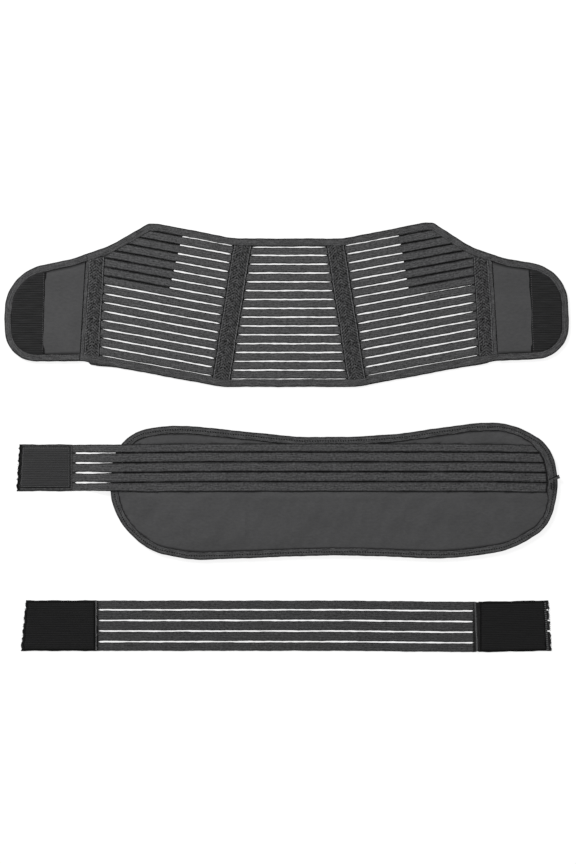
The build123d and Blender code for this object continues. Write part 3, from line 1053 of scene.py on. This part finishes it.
def tab_layers(side, word, across):
    """Lining, foam and loop face of a tab."""
    span = stations(0, 1, 0.028)
    heights = np.linspace(0, 1, 34)
    s = 1 - (1 - span) ** 1.5
    grid_s, grid_t = grid(s, heights)
    start_y = BRACE_RIM.heights(BRACE_X + side * seam_x(TAB, SEAM_MIDDLE), 1.4)
    floor0, roof0 = (v - BRACE_Y for v in start_y)
    first_x = seam_x(TAB, lerp(floor0, roof0, grid_t))
    x = lerp(first_x, tab_reach(side) - 2.2, grid_s)
    floor, roof = (v - BRACE_Y for v in BRACE_RIM.heights(BRACE_X + side * x, 1.4))
    y = lerp(floor, roof, grid_t)
    wx, wy = BRACE_X + side * x, BRACE_Y + y
    depth, _ = BRACE_RIM.depth(wx, wy)
    inside = smooth((depth - 8) / 16) * smooth((x - first_x) / 14)
    broad = swell(wx, wy, 70, 21 + side)
    lining_high = level(f"{word}_tab_lining")[1]
    foam_low, foam_high = level(f"{word}_tab_foam")
    face_low, face_high = level(f"{word}_tab_loop_face")
    crown = 0.9 * inside * (1 + 0.35 * broad)
    uv = pair(wx, wy)
    sunk = 0.25 * smooth((10 - depth) / 3)

    def layer(suffix, low, high, material, slot, node):
        piece = Piece(f"{word}_tab_{suffix}")
        # The edge value paints shade where each layer runs in under the binding.
        piece.lay(wx, wy, high, low, uv, smooth((11.3 - depth) / 1.3))
        return put(piece, [material], slot, [f"{word}_tab_{node}"], across=across)

    lining = layer("lining_cloth", 0.35, lining_high, LINING, "pad_fabric", "lining")
    foam = layer("foam_core", foam_low, foam_high + 0.8 * crown - sunk, FOAM, "foam", "foam")
    face = layer("loop_face_cloth", face_low + 0.85 * crown - sunk + 0.02,
                 face_high + crown - sunk, LOOP, "loop_fabric", "loop_face")


def tab_binding(side, word, across):
    trim = Piece(f"{word}_tab_binding_tape")
    a, b = CUTS[side, "tab", False], CUTS[side, "tab", True]
    if side < 0:
        a, b = b, a
    brace_binding(trim, a, b, level(f"{word}_tab_binding")[1], line=0.9)
    put(trim, [BINDING, THREAD], "binding_tape", [f"{word}_tab_binding"], across=across)


def tab_hook(side, word):
    """Hook patch at a tab's end, inside the binding, with a slanted inner edge."""
    hook = Piece(f"{word}_tab_hook_patch")
    hook_x = HOOK_X[word]
    t = 1 - (1 - stations(0, 1, 0.05)) ** 1.7
    hx = lerp(hook_x, tab_reach(side) - BINDING_W - 0.4, t)
    floor, _ = BRACE_RIM.heights(BRACE_X + side * hx, BINDING_W - 0.6)
    _, roof = BRACE_RIM.heights(BRACE_X + side * hx, BINDING_W - 2.0)
    low = level(f"{word}_tab_hook")[0]

    def lean(gy):
        return HOOK_LEAN[word] * (0.5 - (gy - floor[0]) / (roof[0] - floor[0]))

    def past(gx):
        return side * (gx - BRACE_X) - hook_x

    def shift(gx, gy):
        return side * lean(gy) * smooth(1 - past(gx) / 25)

    def hook_top(gx, gy):
        d, _ = BRACE_RIM.depth(gx, gy)
        rim_fall = smooth((d - BINDING_W + 1.2) / 2.5)
        inner_fall = smooth((past(gx) - lean(gy)) / 0.8)
        return (low + 0.35 + 0.95 * rim_fall * (0.35 + 0.65 * inner_fall)
                + 0.1 * swell(gx, gy, 26, 31))

    def hook_edge(gx, gy):
        return -0.8 * smooth((2.4 - past(gx) + lean(gy)) / 1.5)

    panel(hook, BRACE_X + side * hx, floor, roof, hook_top, low + 0.05, 40, edge=hook_edge,
          shift=shift)
    foot, head = floor[0] + 3, roof[0] - 3
    stitch_row(hook, (BRACE_X + side * (hook_x + 3.4 + lean(foot)), foot),
               (BRACE_X + side * (hook_x + 3.4 + lean(head)), head), low + 1.35, seed=71)
    put(hook, [TAB_HOOK, THREAD], "hook_fabric", [f"{word}_tab_hook"], body=f"{word}_tab")


def seam_tape(side, word):
    """Narrow tape over the seam between an outer casing and its tab."""
    seam = (TAB[0] - SEAM_TAPE_W / 2 - 0.4, TAB[1])
    band = Piece(f"{word}_seam_tape_strip")
    low_end = seam_point(side, seam, 43)
    high_end = seam_point(side, seam, 184)
    # The edge values paint shade along both borders of the tape, the outer one darkest.
    profile = ((0, 0.2, 0.95), (0.16, 0.5, 0.85), (0.28, 0.62, 0), (0.8, 0.62, 0),
               (0.92, 0.5, 0.1), (1, 0.2, 0.4))
    if side < 0:
        profile = [(1 - t, z, e) for t, z, e in reversed(profile)]
    tape(band, low_end, high_end, SEAM_TAPE_W + 0.8, ELASTIC_HIGH + 0.05, profile, 470 + side)
    stitch_row(band, low_end, high_end, ELASTIC_HIGH + 0.78, seed=480)
    put(band, [BINDING, THREAD], "casing_tape", [f"{word}_seam_tape"], body=f"{word}_end")


def make_brace():
    centre_elastic()
    trim = Piece("center_binding_tape")
    brace_binding(trim, CUTS[-1, "wrap", False], CUTS[1, "wrap", False], BINDING_HIGH)
    brace_binding(trim, CUTS[1, "wrap", True], CUTS[-1, "wrap", True], BINDING_HIGH)
    put(trim, [BINDING, THREAD], "binding_tape", ["center_binding"], body="brace_center")
    for side, word in ((-1, "left"), (1, "right")):
        casing(side, f"{word}_back", BACK_AXIS, CASING_W - 0.6, 6.5, 208.5, "brace_center",
               400 + side)
        casing(side, f"{word}_end", OUTER_AXIS, OUTER_CASING_W - 0.4, 38.5, 188.5,
               f"{word}_end", 440 + side)
        for inner in (True, False):
            across = side_elastic(side, word, inner)
            side_binding(side, word, inner, across)
        loop_patch(side, word)
        seam_tape(side, word)
        across = fold(f"{word}_tab_fold", REACH["tab_fold"])
        tab_layers(side, word, across)
        tab_binding(side, word, across)
        tab_hook(side, word)


# --- Webbing in strips -------------------------------------------------------------------

def web_strips(piece, start, end, centre, pitch, outer, low, thick, seed, gap, droop,
               clip=None, rim=1.0, ends=(0.0, 0.0)):
    """The parallel strips of a slotted webbing between two x positions.

    outer(u) gives its lower and upper edges about the centre line, gap(u) the open width
    of its slots, and clip(y) where it is cut off at its end.
    """
    for k in range(WEB_STRIPS):
        def place(u, t, k=k):
            low_edge, high_edge = outer(u)
            foot = low_edge if k == 0 else (k - 2.5) * pitch + gap(u) / 2
            head = high_edge if k == WEB_STRIPS - 1 else (k - 1.5) * pitch - gap(u) / 2
            y = centre + lerp(foot, head, t) + droop(u)
            if clip:
                drawn_in = end - 40 + (u - end + 40) * (clip(y) - end + 40) / 40
                u = np.where(u > end - 40, drawn_in, u)
            return u, y

        u = fine_stations(start, end, 3.4)
        bottom = low(u) if callable(low) else low
        strip(piece, place, u, pitch - OPEN_W, bottom, bottom + thick, seed + 9 * k, sway=0.09,
              rim=rim, ends=ends)


def cut_ends(u, t, start, end, slant):
    """Moves the ends of a strap so that they run aslant, and raggedly, across it."""
    left, right = slant
    near, far = smooth((start + 30 - u) / 30), smooth((u - end + 30) / 30)
    rough = 0.5 * ripple(t * 70, 9, 77) + 0.4 * ripple(t * 70, 4, 78)
    near_shift = near * (left * t + (rough if left else 0))
    return u + near_shift + far * (right * t + (rough if right else 0))


def plain_web(piece, start, end, centre, width, low, thick, seed, droop, slant, cuts=(),
              dark_end=0.0):
    """Webbing without slots, with soft ribs across its width and its cut end aslant.

    cuts are the heights across it of slots that open at its far end, and dark_end is how
    much of its near end lies in shade.
    """
    u = fine_stations(start, end, 3.0)
    t = np.linspace(0, 1, 45)
    t[1], t[-2] = 0.008, 0.992
    sides = [0.5 + (c + side) / width for c in cuts for side in (-1.3, -0.7, 0.7, 1.3)]
    t = np.unique(np.concatenate([t, sides]))
    grid_u, grid_t = grid(u, t)
    edge_wave = 0.3 * ripple(grid_u, 21, seed) * (2 * grid_t - 1)
    x = cut_ends(grid_u, grid_t, start, end, slant)
    for c in cuts:
        x = x - 3.6 * smooth((1.3 - np.abs((grid_t - 0.5) * width - c)) / 0.6) * smooth(
            (grid_u - end + 6) / 6)
    y = centre + (grid_t - 0.5) * width + edge_wave + droop(grid_u)
    rounding = (1 - np.abs(2 * grid_t - 1) ** 24) ** 0.5
    off = (grid_t - 0.5) * width
    top = low + thick * (0.3 + 0.7 * rounding) + 0.1 * np.cos(off * 2 * np.pi / 3.1)
    top = top + 0.12 * swell(grid_u, y, 22, seed + 3)
    uv = pair(grid_u, off)
    # Painted shade along its long edges, and over its near end by dark_end.
    edge = smooth((np.abs(2 * grid_t - 1) - 0.95) / 0.05)
    if dark_end:
        edge = np.maximum(edge, smooth((dark_end + 1 - grid_u + start) / 2))
    piece.lay(x, y, top, low, uv, edge)


def hook_patch(piece, start, end, centre, width, low, thick, seed, droop, slant, rim):
    """Hook patch with stitches round it and a pressed rim, pale or dark by its sign."""
    half = width / 2
    margin = np.array((0, 0.7, 1.5, 2.8))
    u = np.concatenate([start + margin, stations(start + 4, end - 4, 3.0), (end - margin)[::-1]])
    v = np.concatenate([margin - half, stations(-half + 4, half - 4, 3.0), (half - margin)[::-1]])
    grid_u, grid_v = grid(u, v)
    gap = np.minimum(np.minimum(grid_u - start, end - grid_u), half - np.abs(grid_v))
    top = low + thick * (0.25 + 0.3 * smooth(gap / 0.6) + 0.45 * smooth((gap - 1.6) / 2.0))
    top = top + 0.1 * swell(grid_u, grid_v, 24, seed) * smooth(gap / 6)
    x = cut_ends(grid_u, grid_v / width + 0.5, start, end, slant)
    y = centre + grid_v + droop(grid_u)
    uv = pair(grid_u, grid_v)
    edge = np.where(gap < 1, -0.95, smooth((2.8 - gap) / 1.2) * rim)
    piece.lay(x, y, top, low + 0.05, uv, edge)
    z = low + thick * 0.62
    a, b, c, d = start + 2, end - 2, centre - half + 2, centre + half - 2
    shift = droop(np.array((a, b)))
    corners = ((a, c + shift[0]), (b, c + shift[1]), (b + slant[1], d + shift[1]),
               (a + slant[0], d + shift[0]))
    for p, q in zip(corners, corners[1:] + corners[:1]):
        stitch_row(piece, p, q, z, seed=seed + 5)


# --- Belly band --------------------------------------------------------------------------

BAND_RIM = Rim([
    (238, -178, 400),
    (326, -165, 130),
    (382, -130, 60),
    (396, -68, 125),
    (384, -13, 60),
    (326, 20.5, 105),
    (272, 19.5, 250),
    (160, 3.6, 400),
    (104, 0, 400),
    (22, -1.2, 500),
    (-165, 18, 250),
    (-221, 7.5, 60),
    (-250.5, -22, 55),
    (-257.5, -84, 90),
    (-240, -129.5, 95),
    (-197, -168, 95),
    (-135, -179.5, 200),
    (75, -171.5, 1500),
])
FRONT_HIGH = level("band_middle_front")[1]
FOAM_LOW, FOAM_HIGH = level("band_middle_foam")
BAND_BINDING_HIGH = level("band_middle_binding")[1]
WEB_T = level("band_middle_webbing")[1] - level("band_middle_webbing")[0]
PAD_COLUMNS = 44
BAND_WEB_RIGHT = 379.0  # where the webbing on the pad ends
WEB_STITCH_X = -238.0  # stitches that hold it over the left binding
TRIAL_STEPS = 20


def pad_grid():
    """Rows and columns of the whole pad, with every fold line on a row."""
    low_x, high_x = BAND_RIM.p[:, 0].min() + 2.2, BAND_RIM.p[:, 0].max() - 2.2
    ends = (low_x, *BAND_FOLDS, high_x)
    rows = []
    for i in range(3):
        t = stations(0, 1, 4.6 / (ends[i + 1] - ends[i]))
        if i == 0:
            t = t ** 1.35
        if i == 2:
            t = 1 - (1 - t) ** 1.35
        rows.append(ends[i] + (ends[i + 1] - ends[i]) * t)
    x = np.concatenate([rows[0], rows[1][1:], rows[2][1:]])
    cuts = (0, len(rows[0]) - 1, len(rows[0]) + len(rows[1]) - 2, len(x) - 1)
    floor, roof = BAND_RIM.heights(x, 1.6)
    t = np.linspace(0, 1, PAD_COLUMNS)
    grid_x = np.broadcast_to(x[:, None], (len(x), PAD_COLUMNS)).copy()
    return grid_x, floor[:, None] + (roof - floor)[:, None] * t, cuts


def relaxed_front(x, y, depth, start_z):
    """Heights of the pad's front after its cloth has settled over the foam."""
    rows, cols = x.shape
    index = np.arange(rows * cols).reshape(rows, cols)
    quads = np.stack([index[:-1, :-1], index[1:, :-1], index[1:, 1:], index[:-1, 1:]], -1)
    mesh = bpy.data.meshes.new("front_trial")
    points = xyz(x, y, start_z).reshape(-1, 3) * MM
    mesh.from_pydata(points.tolist(), [], quads.reshape(-1, 4).tolist())
    obj = bpy.data.objects.new("front_trial", mesh)
    bpy.context.scene.collection.objects.link(obj)
    group = obj.vertex_groups.new(name="held")
    web = web_margin(x, y) > -3
    hold = np.where(depth < BAND_BINDING_W - 0.5, 1.0, np.where(web, 0.8, 0.12))
    for i, weight in enumerate(hold.reshape(-1)):
        group.add([i], float(weight), "REPLACE")
    cloth = obj.modifiers.new("Cloth", "CLOTH")
    cloth.settings.vertex_group_mass = "held"
    cloth.settings.pin_stiffness = 6
    cloth.settings.mass = 0.15
    cloth.settings.shrink_min = -0.012
    cloth.settings.bending_stiffness = 0.4
    cloth.settings.use_pressure = True
    cloth.settings.uniform_pressure_force = 0.6
    cloth.settings.effector_weights.gravity = 0
    cloth.point_cache.frame_start, cloth.point_cache.frame_end = 1, TRIAL_STEPS
    for step in range(1, TRIAL_STEPS + 1):
        bpy.context.scene.frame_set(step)
    shown = obj.evaluated_get(bpy.context.evaluated_depsgraph_get())
    co = np.zeros(rows * cols * 3)
    shown.data.vertices.foreach_get("co", co)
    bpy.data.objects.remove(obj)
    bpy.data.meshes.remove(mesh)
    bpy.context.scene.frame_set(1)
    moved = co.reshape(rows, cols, 3)[:, :, 2] / MM - start_z
    return start_z + 0.6 * np.clip(moved, -0.5, 1.6)


def web_base(x):
    """Underside of the band's webbing: on the pad, over its left binding, then the floor."""
    over_binding = smooth((-228 - x) / 14)
    on_pad = FRONT_HIGH + 0.75 + (BAND_BINDING_HIGH + 0.45 - FRONT_HIGH - 0.75) * over_binding
    drop = smooth((TAIL_FOLD + 1 - x) / 34)
    under_right = smooth((x - 355) / 16)
    return on_pad * (1 - drop) + 0.15 * drop - 0.55 * under_right


def web_droop(x):
    """The webbing bows up slightly along the pad and sinks towards both of its ends."""
    x = np.asarray(x, float)
    return 1.1 - 1.55 * smooth((-100 - x) / 180) - 1.35 * smooth((x - 280) / 100)


def web_outer(x):
    """The webbing's lower and upper edges about its centre line."""
    return -33.6 - 2.2 * smooth((x + 250) / 60), 33.7 - 0.9 * smooth((x - 220) / 80) + 0 * x


def web_gap(x):
    """Open width of its slots: pulled tight on the pad, wider on the tail."""
    on_pad = smooth((x + 281) / 24)
    taper = -0.1 + 1.1 * smooth((x - TAIL_STRIPS_END - 3) / 3)
    return lerp(OPEN_W + 0.3, 0.7, on_pad) * taper


def web_margin(x, y):
    """How far inside the webbing's edges a point is, less than zero when outside."""
    low, high = web_outer(x)
    off = y - BAND_WEB_Y - web_droop(x)
    return np.minimum(off - low, high - off)


def web_end(y):
    """Where the webbing runs in under the binding at the right-hand end of the band."""
    q = BAND_RIM.p + BAND_RIM.n * (BAND_BINDING_W + 2.4)
    q = q[(BAND_RIM.n[:, 0] < -0.3) & (BAND_RIM.p[:, 0] > 300)]
    order = np.argsort(q[:, 1])
    return np.interp(y, q[order, 1], q[order, 0])


def near_web_end(s):
    """1 along the stretch of the outline beside the right-hand end of the webbing."""
    x, y = BAND_RIM.at(s, 0)
    beside = smooth((BAND_WEB_W / 2 + 14 - np.abs(y - BAND_WEB_Y)) / 12)
    return np.where(x > 300, 1.0, 0.0) * beside


def over_web(s):
    """How far the band's binding is raised over the right-hand end of the webbing."""
    return 1.25 * near_web_end(s)


def wider_at_web(s):
    """The band's binding is wider where it takes in the end of the webbing."""
    return 3.8 * near_web_end(s)


def under_web(x, y):
    """1 where the webbing shades what lies under it."""
    return smooth((web_margin(x, y) - 0.2) / 0.8) * smooth((web_end(y) - x) / 2)


def make_band():
    x, y, cuts = pad_grid()
    depth, along = BAND_RIM.depth(x, y)
    inside = 1 - np.exp(-np.maximum(depth - BAND_BINDING_W, 0) / 13)
    webbed = smooth((web_margin(x, y) + 9) / 8)
    crown = inside * (1.5 + 0.5 * swell(x, y, 120, 5)) * (1 - 0.6 * webbed)
    pucker = 0.22 * ripple(along, 11, 33) * np.exp(-((depth - 15) / 7) ** 2)
    front = FRONT_HIGH - 0.3 * (1 - inside) + crown + pucker
    front = relaxed_front(x, y, depth, front)
    front = np.minimum(front, web_base(x) - 0.05 + 3 * smooth((-2 - web_margin(x, y)) / 6))
    fill = front - FRONT_HIGH
    uv = pair(x, y)
    bodies = ("left", "middle", "right")
    folds = {word: fold(f"band_{word}_wrap", REACH["band_wrap"]) for word in ("left", "right")}
    web_x = (TAIL_FOLD, *BAND_FOLDS, BAND_WEB_RIGHT)

    for i, word in enumerate(bodies):
        rows = slice(cuts[i], cuts[i + 1] + 1)
        gx, gy, gd = x[rows], y[rows], depth[rows]
        home = {"body": "band_middle"} if word == "middle" else {"across": folds[word]}
        guv = uv[rows]
        shadow = smooth((BAND_BINDING_W + 0.8 - gd) / 1.4)

        lining = Piece(f"band_{word}_lining_cloth")
        rise = 0.1 + 0.25 * (1 + swell(gx, gy, 60, 15)) * smooth((gd - 10) / 10)
        lining.lay(gx, gy, FOAM_LOW - 0.02, 0.3 + rise * 0.6, guv, shadow)
        lining = put(lining, [LINING], "pad_fabric", [f"band_{word}_lining"], **home)

        foam = Piece(f"band_{word}_foam_core")
        foam.lay(gx, gy, FOAM_HIGH + fill[rows] * 0.9 - 0.35, FOAM_LOW + 0.02, guv)
        foam = put(foam, [FOAM], "foam", [f"band_{word}_foam"], **home)

        cover = Piece(f"band_{word}_front_cloth")
        cover.lay(gx, gy, front[rows], FOAM_HIGH + fill[rows] * 0.9 - 0.3, guv,
                  np.maximum(shadow, under_web(gx, gy)))
        cover = put(cover, [PAD_FRONT], "pad_fabric", [f"band_{word}_front"], **home)

        trim = Piece(f"band_{word}_binding_tape")
        for a, b in band_spans(word):
            binding(trim, BAND_RIM, a, b, BAND_BINDING_W, 0.1, BAND_BINDING_HIGH - 0.1, 70,
                    over_web, dark=under_web, dots=True, line=0.9, wider=wider_at_web)
        put(trim, [BINDING, DARK_THREAD], "binding_tape", [f"band_{word}_binding"], **home)

        web = Piece(f"band_{word}_webbing_strips")
        web_strips(web, web_x[i], web_x[i + 1], BAND_WEB_Y, BAND_PITCH, web_outer, web_base,
                   WEB_T - 0.1, 800, web_gap, web_droop, web_end if word == "right" else None,
                   ends=(0, 3.4 if word == "right" else 0))
        if word == "left":
            stitch_row(web, (WEB_STITCH_X, BAND_WEB_Y - 33), (WEB_STITCH_X, BAND_WEB_Y + 33),
                       BAND_BINDING_HIGH + 1.9, seed=91)
        put(web, [BAND_WEB, THREAD], "slotted_elastic", [f"band_{word}_webbing"], **home)

    rear = Piece("band_rear_hook_patch")
    hook_patch(rear, 300.5, 371.5, BAND_WEB_Y - 10, BAND_WEB_W - 1, 0.0, 0.35, 61,
               lambda x: 0 * x, (0, 0), 0.8)
    put(rear, [TAB_HOOK, DARK_THREAD], "hook_fabric", ["band_rear_hook"], body="band_right")

    knot = Piece("binding_join_tab")
    # The edge values paint full shade on the side of the tab from 0.7 across, where it slopes
    # down.
    tape(knot, (380.8, -63.6), (395.2, -57.9), 5.0, BAND_BINDING_HIGH + 1.1,
         ((0, 0.1, 0.0), (0.3, 0.45, 0.0), (0.6, 0.5, 0.0), (0.7, 0.45, 1.0), (1, 0.1, 1.0)), 62)
    for x in (383.0, 387.4):
        stitch_row(knot, (x, -76.5), (x - 0.2, -64.5), BAND_BINDING_HIGH + 2.3, pitch=3.4,
                   length=2.5, radius=1.0, seed=63)
    put(knot, [BINDING, DARK_THREAD], "binding_tape", ["binding_join"], body="band_right")
    make_tail()


def band_spans(word):
    """Stretches of the band's outline that belong to one segment."""
    def cut(at, upper):
        return BAND_RIM.crossing(lambda x, y: x - at, upper)
    left, right = BAND_FOLDS
    if word == "left":
        return [(cut(left, True), cut(left, False))]
    if word == "right":
        return [(cut(right, False), cut(right, True))]
    return [(cut(left, False), cut(right, False)), (cut(right, True), cut(left, True))]


def make_tail():
    tail_fold = fold("band_tail_fold", REACH["tail_fold"])
    end = (TAIL_STRIPS_END + 2, BAND_WEB_Y)
    tail_stretch = stretch("band_tail_stretch", end, (-1, 0), REACH["tail_stretch"])
    for name, start, stop, across in (("inner", TAIL_FOLD, TAIL_SPLIT, tail_fold),
                                      ("outer", TAIL_SPLIT, TAIL_STRIPS_END - 4, tail_stretch)):
        web = Piece(f"tail_webbing_{name}")
        web_strips(web, start, stop, BAND_WEB_Y, BAND_PITCH, web_outer, web_base, WEB_T - 0.1,
                   800, web_gap, web_droop)
        put(web, [BAND_WEB], "slotted_elastic", ["tail_webbing"], across=across)
    low = web_base(TAIL_STRIPS_END)
    base = Piece("tail_end_webbing_cloth")
    plain_web(base, TAIL_END - 0.4, TAIL_STRIPS_END - 0.5, BAND_WEB_Y, BAND_WEB_W - 0.3, low,
              WEB_T + 0.35, 820, web_droop, (4.2, 0), dark_end=4.5)
    fray(base, TAIL_END - 0.4, BAND_WEB_Y - 33, BAND_WEB_Y + 33, 0.9, -1, 26, 66, lean=4.2)
    put(base, [STRAP_WEB], "slotted_elastic", ["tail_end_webbing"], body="band_tail_end")
    patch = Piece("tail_hook_patch")
    hook_patch(patch, TAIL_END + 4.2, TAIL_STRIPS_END - 3.4, BAND_WEB_Y + 1, BAND_WEB_W - 8.6,
               low + WEB_T + 0.3, 1.35, 67, web_droop, (3.4, 0), 0.55)
    put(patch, [TAIL_HOOK, THREAD], "hook_fabric", ["tail_hook"], body="band_tail_end")


# --- Strap -------------------------------------------------------------------------------

def strap_droop(x):
    """The strap sinks a little before its right-hand seam."""
    x = np.asarray(x, float)
    return -1.6 * smooth((x - 60) / 200) * smooth((390 - x) / 110)


def strap_outer(x):
    """The strap's lower and upper edges about its centre line."""
    return -STRAP_W / 2 + 0 * x, STRAP_W / 2 + 0 * x


def strap_gap(x):
    """Open width of the strap's slots, which close just before its seams."""
    left, right = STRAP_SLOTS
    opened = smooth((x - left - 2) / 3) * smooth((right + 0.6 - x) / 2.5)
    return (OPEN_W + 0.1) * (-0.1 + 1.1 * opened)


def strap_end(word, shape, home):
    """Plain webbing at one end of the strap, its frayed cut edge and its hook patch."""
    cut, out, lean = shape["cut"], shape["out"], shape["lean"]
    web = Piece(f"strap_{word}_end_cloth")
    open_slots = [k * STRAP_PITCH for k in (-0.5, 0.5, 1.5)] if out > 0 else ()
    plain_web(web, *shape["web"], STRAP_Y, STRAP_W + 0.4, STRAP_LOW, WEB_T + 0.15, 910,
              strap_droop, shape["slant"], open_slots)
    fray(web, cut, STRAP_Y - 36, STRAP_Y + 36, 0.8, out, 30, 68, lean=lean)
    if out > 0:
        fray(web, cut - 0.8, STRAP_Y - 36, STRAP_Y + 36, 1.9, out, 60, 69, THREAD_SLOT,
             lean=lean)
        for off in (-6.0, -4.6):
            stitch_row(web, (cut + off, STRAP_Y - 35.5), (cut + off + lean, STRAP_Y + 34),
                       STRAP_LOW + WEB_T + 0.4, pitch=2.9, length=2.0, radius=0.65, seed=70)
    put(web, [DARK_WEB_AND_SHADE, THREAD], "slotted_elastic", [f"strap_{word}_end_webbing"], **home)
    patch = Piece(f"strap_{word}_hook_patch")
    hook_patch(patch, *shape["patch"], STRAP_Y, STRAP_W - 2, STRAP_LOW + WEB_T + 0.12, 1.3, 913,
               strap_droop, shape["patch_slant"], -0.8)
    put(patch, [STRAP_HOOK, DARK_THREAD], "hook_fabric", [f"strap_{word}_hook"], **home)


def strap_seam(word, middle, lean, width, drop, off, home):
    """Narrow strip where an end of the strap is sewn on; the right one has a wide backing."""
    seam = Piece(f"strap_{word}_seam_strip")
    top = STRAP_LOW + WEB_T
    foot = (middle - lean, STRAP_Y - 35.8 + drop)
    head = (middle + lean, STRAP_Y + 35.8 + drop)
    # The edge values paint shade: the right backing nearly black beside the seam, and the borders
    # of the narrow tape.
    if word == "right":
        back = STRAP_SLOTS[1] + 5.2
        tape(seam, (back, foot[1]), (back, head[1]), 6.7, top,
             ((0, 0.1, 0.9), (0.1, 0.35, 0.85), (0.9, 0.35, 0.85), (1, 0.1, 0.9)), 914)
    tape(seam, foot, head, width, top,
         ((0, 0.2, 0.9), (0.15, 0.7, 0.3), (0.35, 0.9, 0.1), (0.65, 0.9, 0.1),
          (0.85, 0.7, 0.3), (1, 0.2, 0.9)), 911)
    stitch_row(seam, (foot[0] + off, foot[1]), (head[0] + off, head[1]), top + 1.0,
               pitch=2.3, length=2.0, radius=0.55, seed=912)
    put(seam, [BINDING, THREAD], "casing_tape", [f"strap_{word}_seam"], **home)


def make_strap():
    left, right = STRAP_SLOTS
    cuts = (left, *STRAP_FOLDS, right + 5)
    left_fold = fold("strap_left_wrap", REACH["strap_wrap"])
    right_fold = fold("strap_right_wrap", REACH["strap_wrap"])
    give = stretch("strap_stretch", (right - 3, STRAP_Y), (1, 0), REACH["strap_stretch"])
    parts = (
        ("strap_left_webbing_strips", cuts[0], cuts[1], "strap_left_webbing", (2.2, 0),
         {"across": left_fold}),
        ("strap_middle_webbing_strips", cuts[1], cuts[2], "strap_middle_webbing", (0, 0),
         {"body": "strap_middle"}),
        ("strap_right_webbing_inner", cuts[2], STRAP_SPLIT, "strap_right_webbing", (0, 0),
         {"across": right_fold}),
        ("strap_right_webbing_outer", STRAP_SPLIT, cuts[3], "strap_right_webbing", (0, 4.6),
         {"across": give}),
    )
    for name, start, end, node, ends, home in parts:
        piece = Piece(name)
        web_strips(piece, start, end, STRAP_Y, STRAP_PITCH, strap_outer, STRAP_LOW, WEB_T, 900,
                   strap_gap, strap_droop, rim=0.55, ends=ends)
        put(piece, [STRAP_WEB], "slotted_elastic", [node], **home)

    left_cut, right_cut = STRAP_ENDS
    tab_fold = {"across": fold("strap_left_tab_fold", REACH["strap_tab_fold"])}
    strap_end("left", {"web": (left_cut + 1.2, left - 0.2), "slant": (7.4, 0),
                       "patch": (left_cut + 4, left - 2.6), "patch_slant": (6.4, 0),
                       "cut": left_cut + 1.2, "out": -1, "lean": 7.4}, tab_fold)
    strap_end("right", {"web": (right + SEAM_W, right_cut), "slant": (0, -4.4),
                        "patch": (right + SEAM_W + 2.4, right_cut - FRAY - 1),
                        "patch_slant": (0, -3.0), "cut": right_cut, "out": 1, "lean": -4.4},
              {"body": "strap_right_tab"})
    strap_seam("left", left - 1.1, 0.0, 1.9, 0.0, 0.0, tab_fold)
    strap_seam("right", right + 4.6, -1.3, 3.8, -1.6, 0.2, {"body": "strap_right_join"})


# --- Floor, light and camera -------------------------------------------------------------

def make_stage():
    mesh = bpy.data.meshes.new("floor")
    reach = 6.0
    corners = [(-reach, -reach, 0), (reach, -reach, 0), (reach, reach, 0), (-reach, reach, 0)]
    mesh.from_pydata(corners, [], [(0, 1, 2, 3)])
    floor = bpy.data.objects.new("floor", mesh)
    bpy.context.scene.collection.objects.link(floor)
    material = bpy.data.materials.new("pale_floor")
    material.use_nodes = True
    tree = material.node_tree
    bsdf = tree.nodes["Principled BSDF"]
    bsdf.inputs["Base Color"].default_value = (0.25, 0.25, 0.25, 1)
    bsdf.inputs["Roughness"].default_value = 0.9
    bsdf.inputs["Specular IOR Level"].default_value = 0.0
    bsdf.inputs["Emission Color"].default_value = (1, 1, 1, 1)
    bsdf.inputs["Emission Strength"].default_value = 0.8
    mesh.materials.append(material)

    world = bpy.data.worlds.new("studio")
    bpy.context.scene.world = world
    world.use_nodes = True
    background = world.node_tree.nodes["Background"]
    background.inputs[0].default_value = (1, 1, 1, 1)
    background.inputs[1].default_value = 0.4

    for name, place, size, power in (("key", (-1.7, 2.2, 1.9), 1.0, 110),
                                     ("fill", (1.9, -1.4, 3.2), 2.4, 26)):
        lamp = bpy.data.lights.new(name, "AREA")
        lamp.size = size
        lamp.energy = power
        obj = bpy.data.objects.new(name, lamp)
        obj.location = place
        obj.rotation_euler = (-obj.location).to_track_quat("-Z", "Y").to_euler()
        bpy.context.scene.collection.objects.link(obj)


def make_camera():
    """Camera straight above, with the set framed as in a tall catalogue picture."""
    height_seen = 1.2528
    lens, sensor = 85.0, 36.0
    data = bpy.data.cameras.new("camera")
    data.lens = lens
    data.sensor_width = sensor
    camera = bpy.data.objects.new("camera", data)
    camera.location = (0.0022, 0.0065, height_seen * lens / sensor + 0.002)
    bpy.context.scene.collection.objects.link(camera)
    bpy.context.scene.camera = camera


make_stage()
make_camera()
make_brace()
make_band()
make_strap()
bpy.context.scene.view_settings.view_transform = "Standard"
bpy.context.scene.view_settings.look = "None"
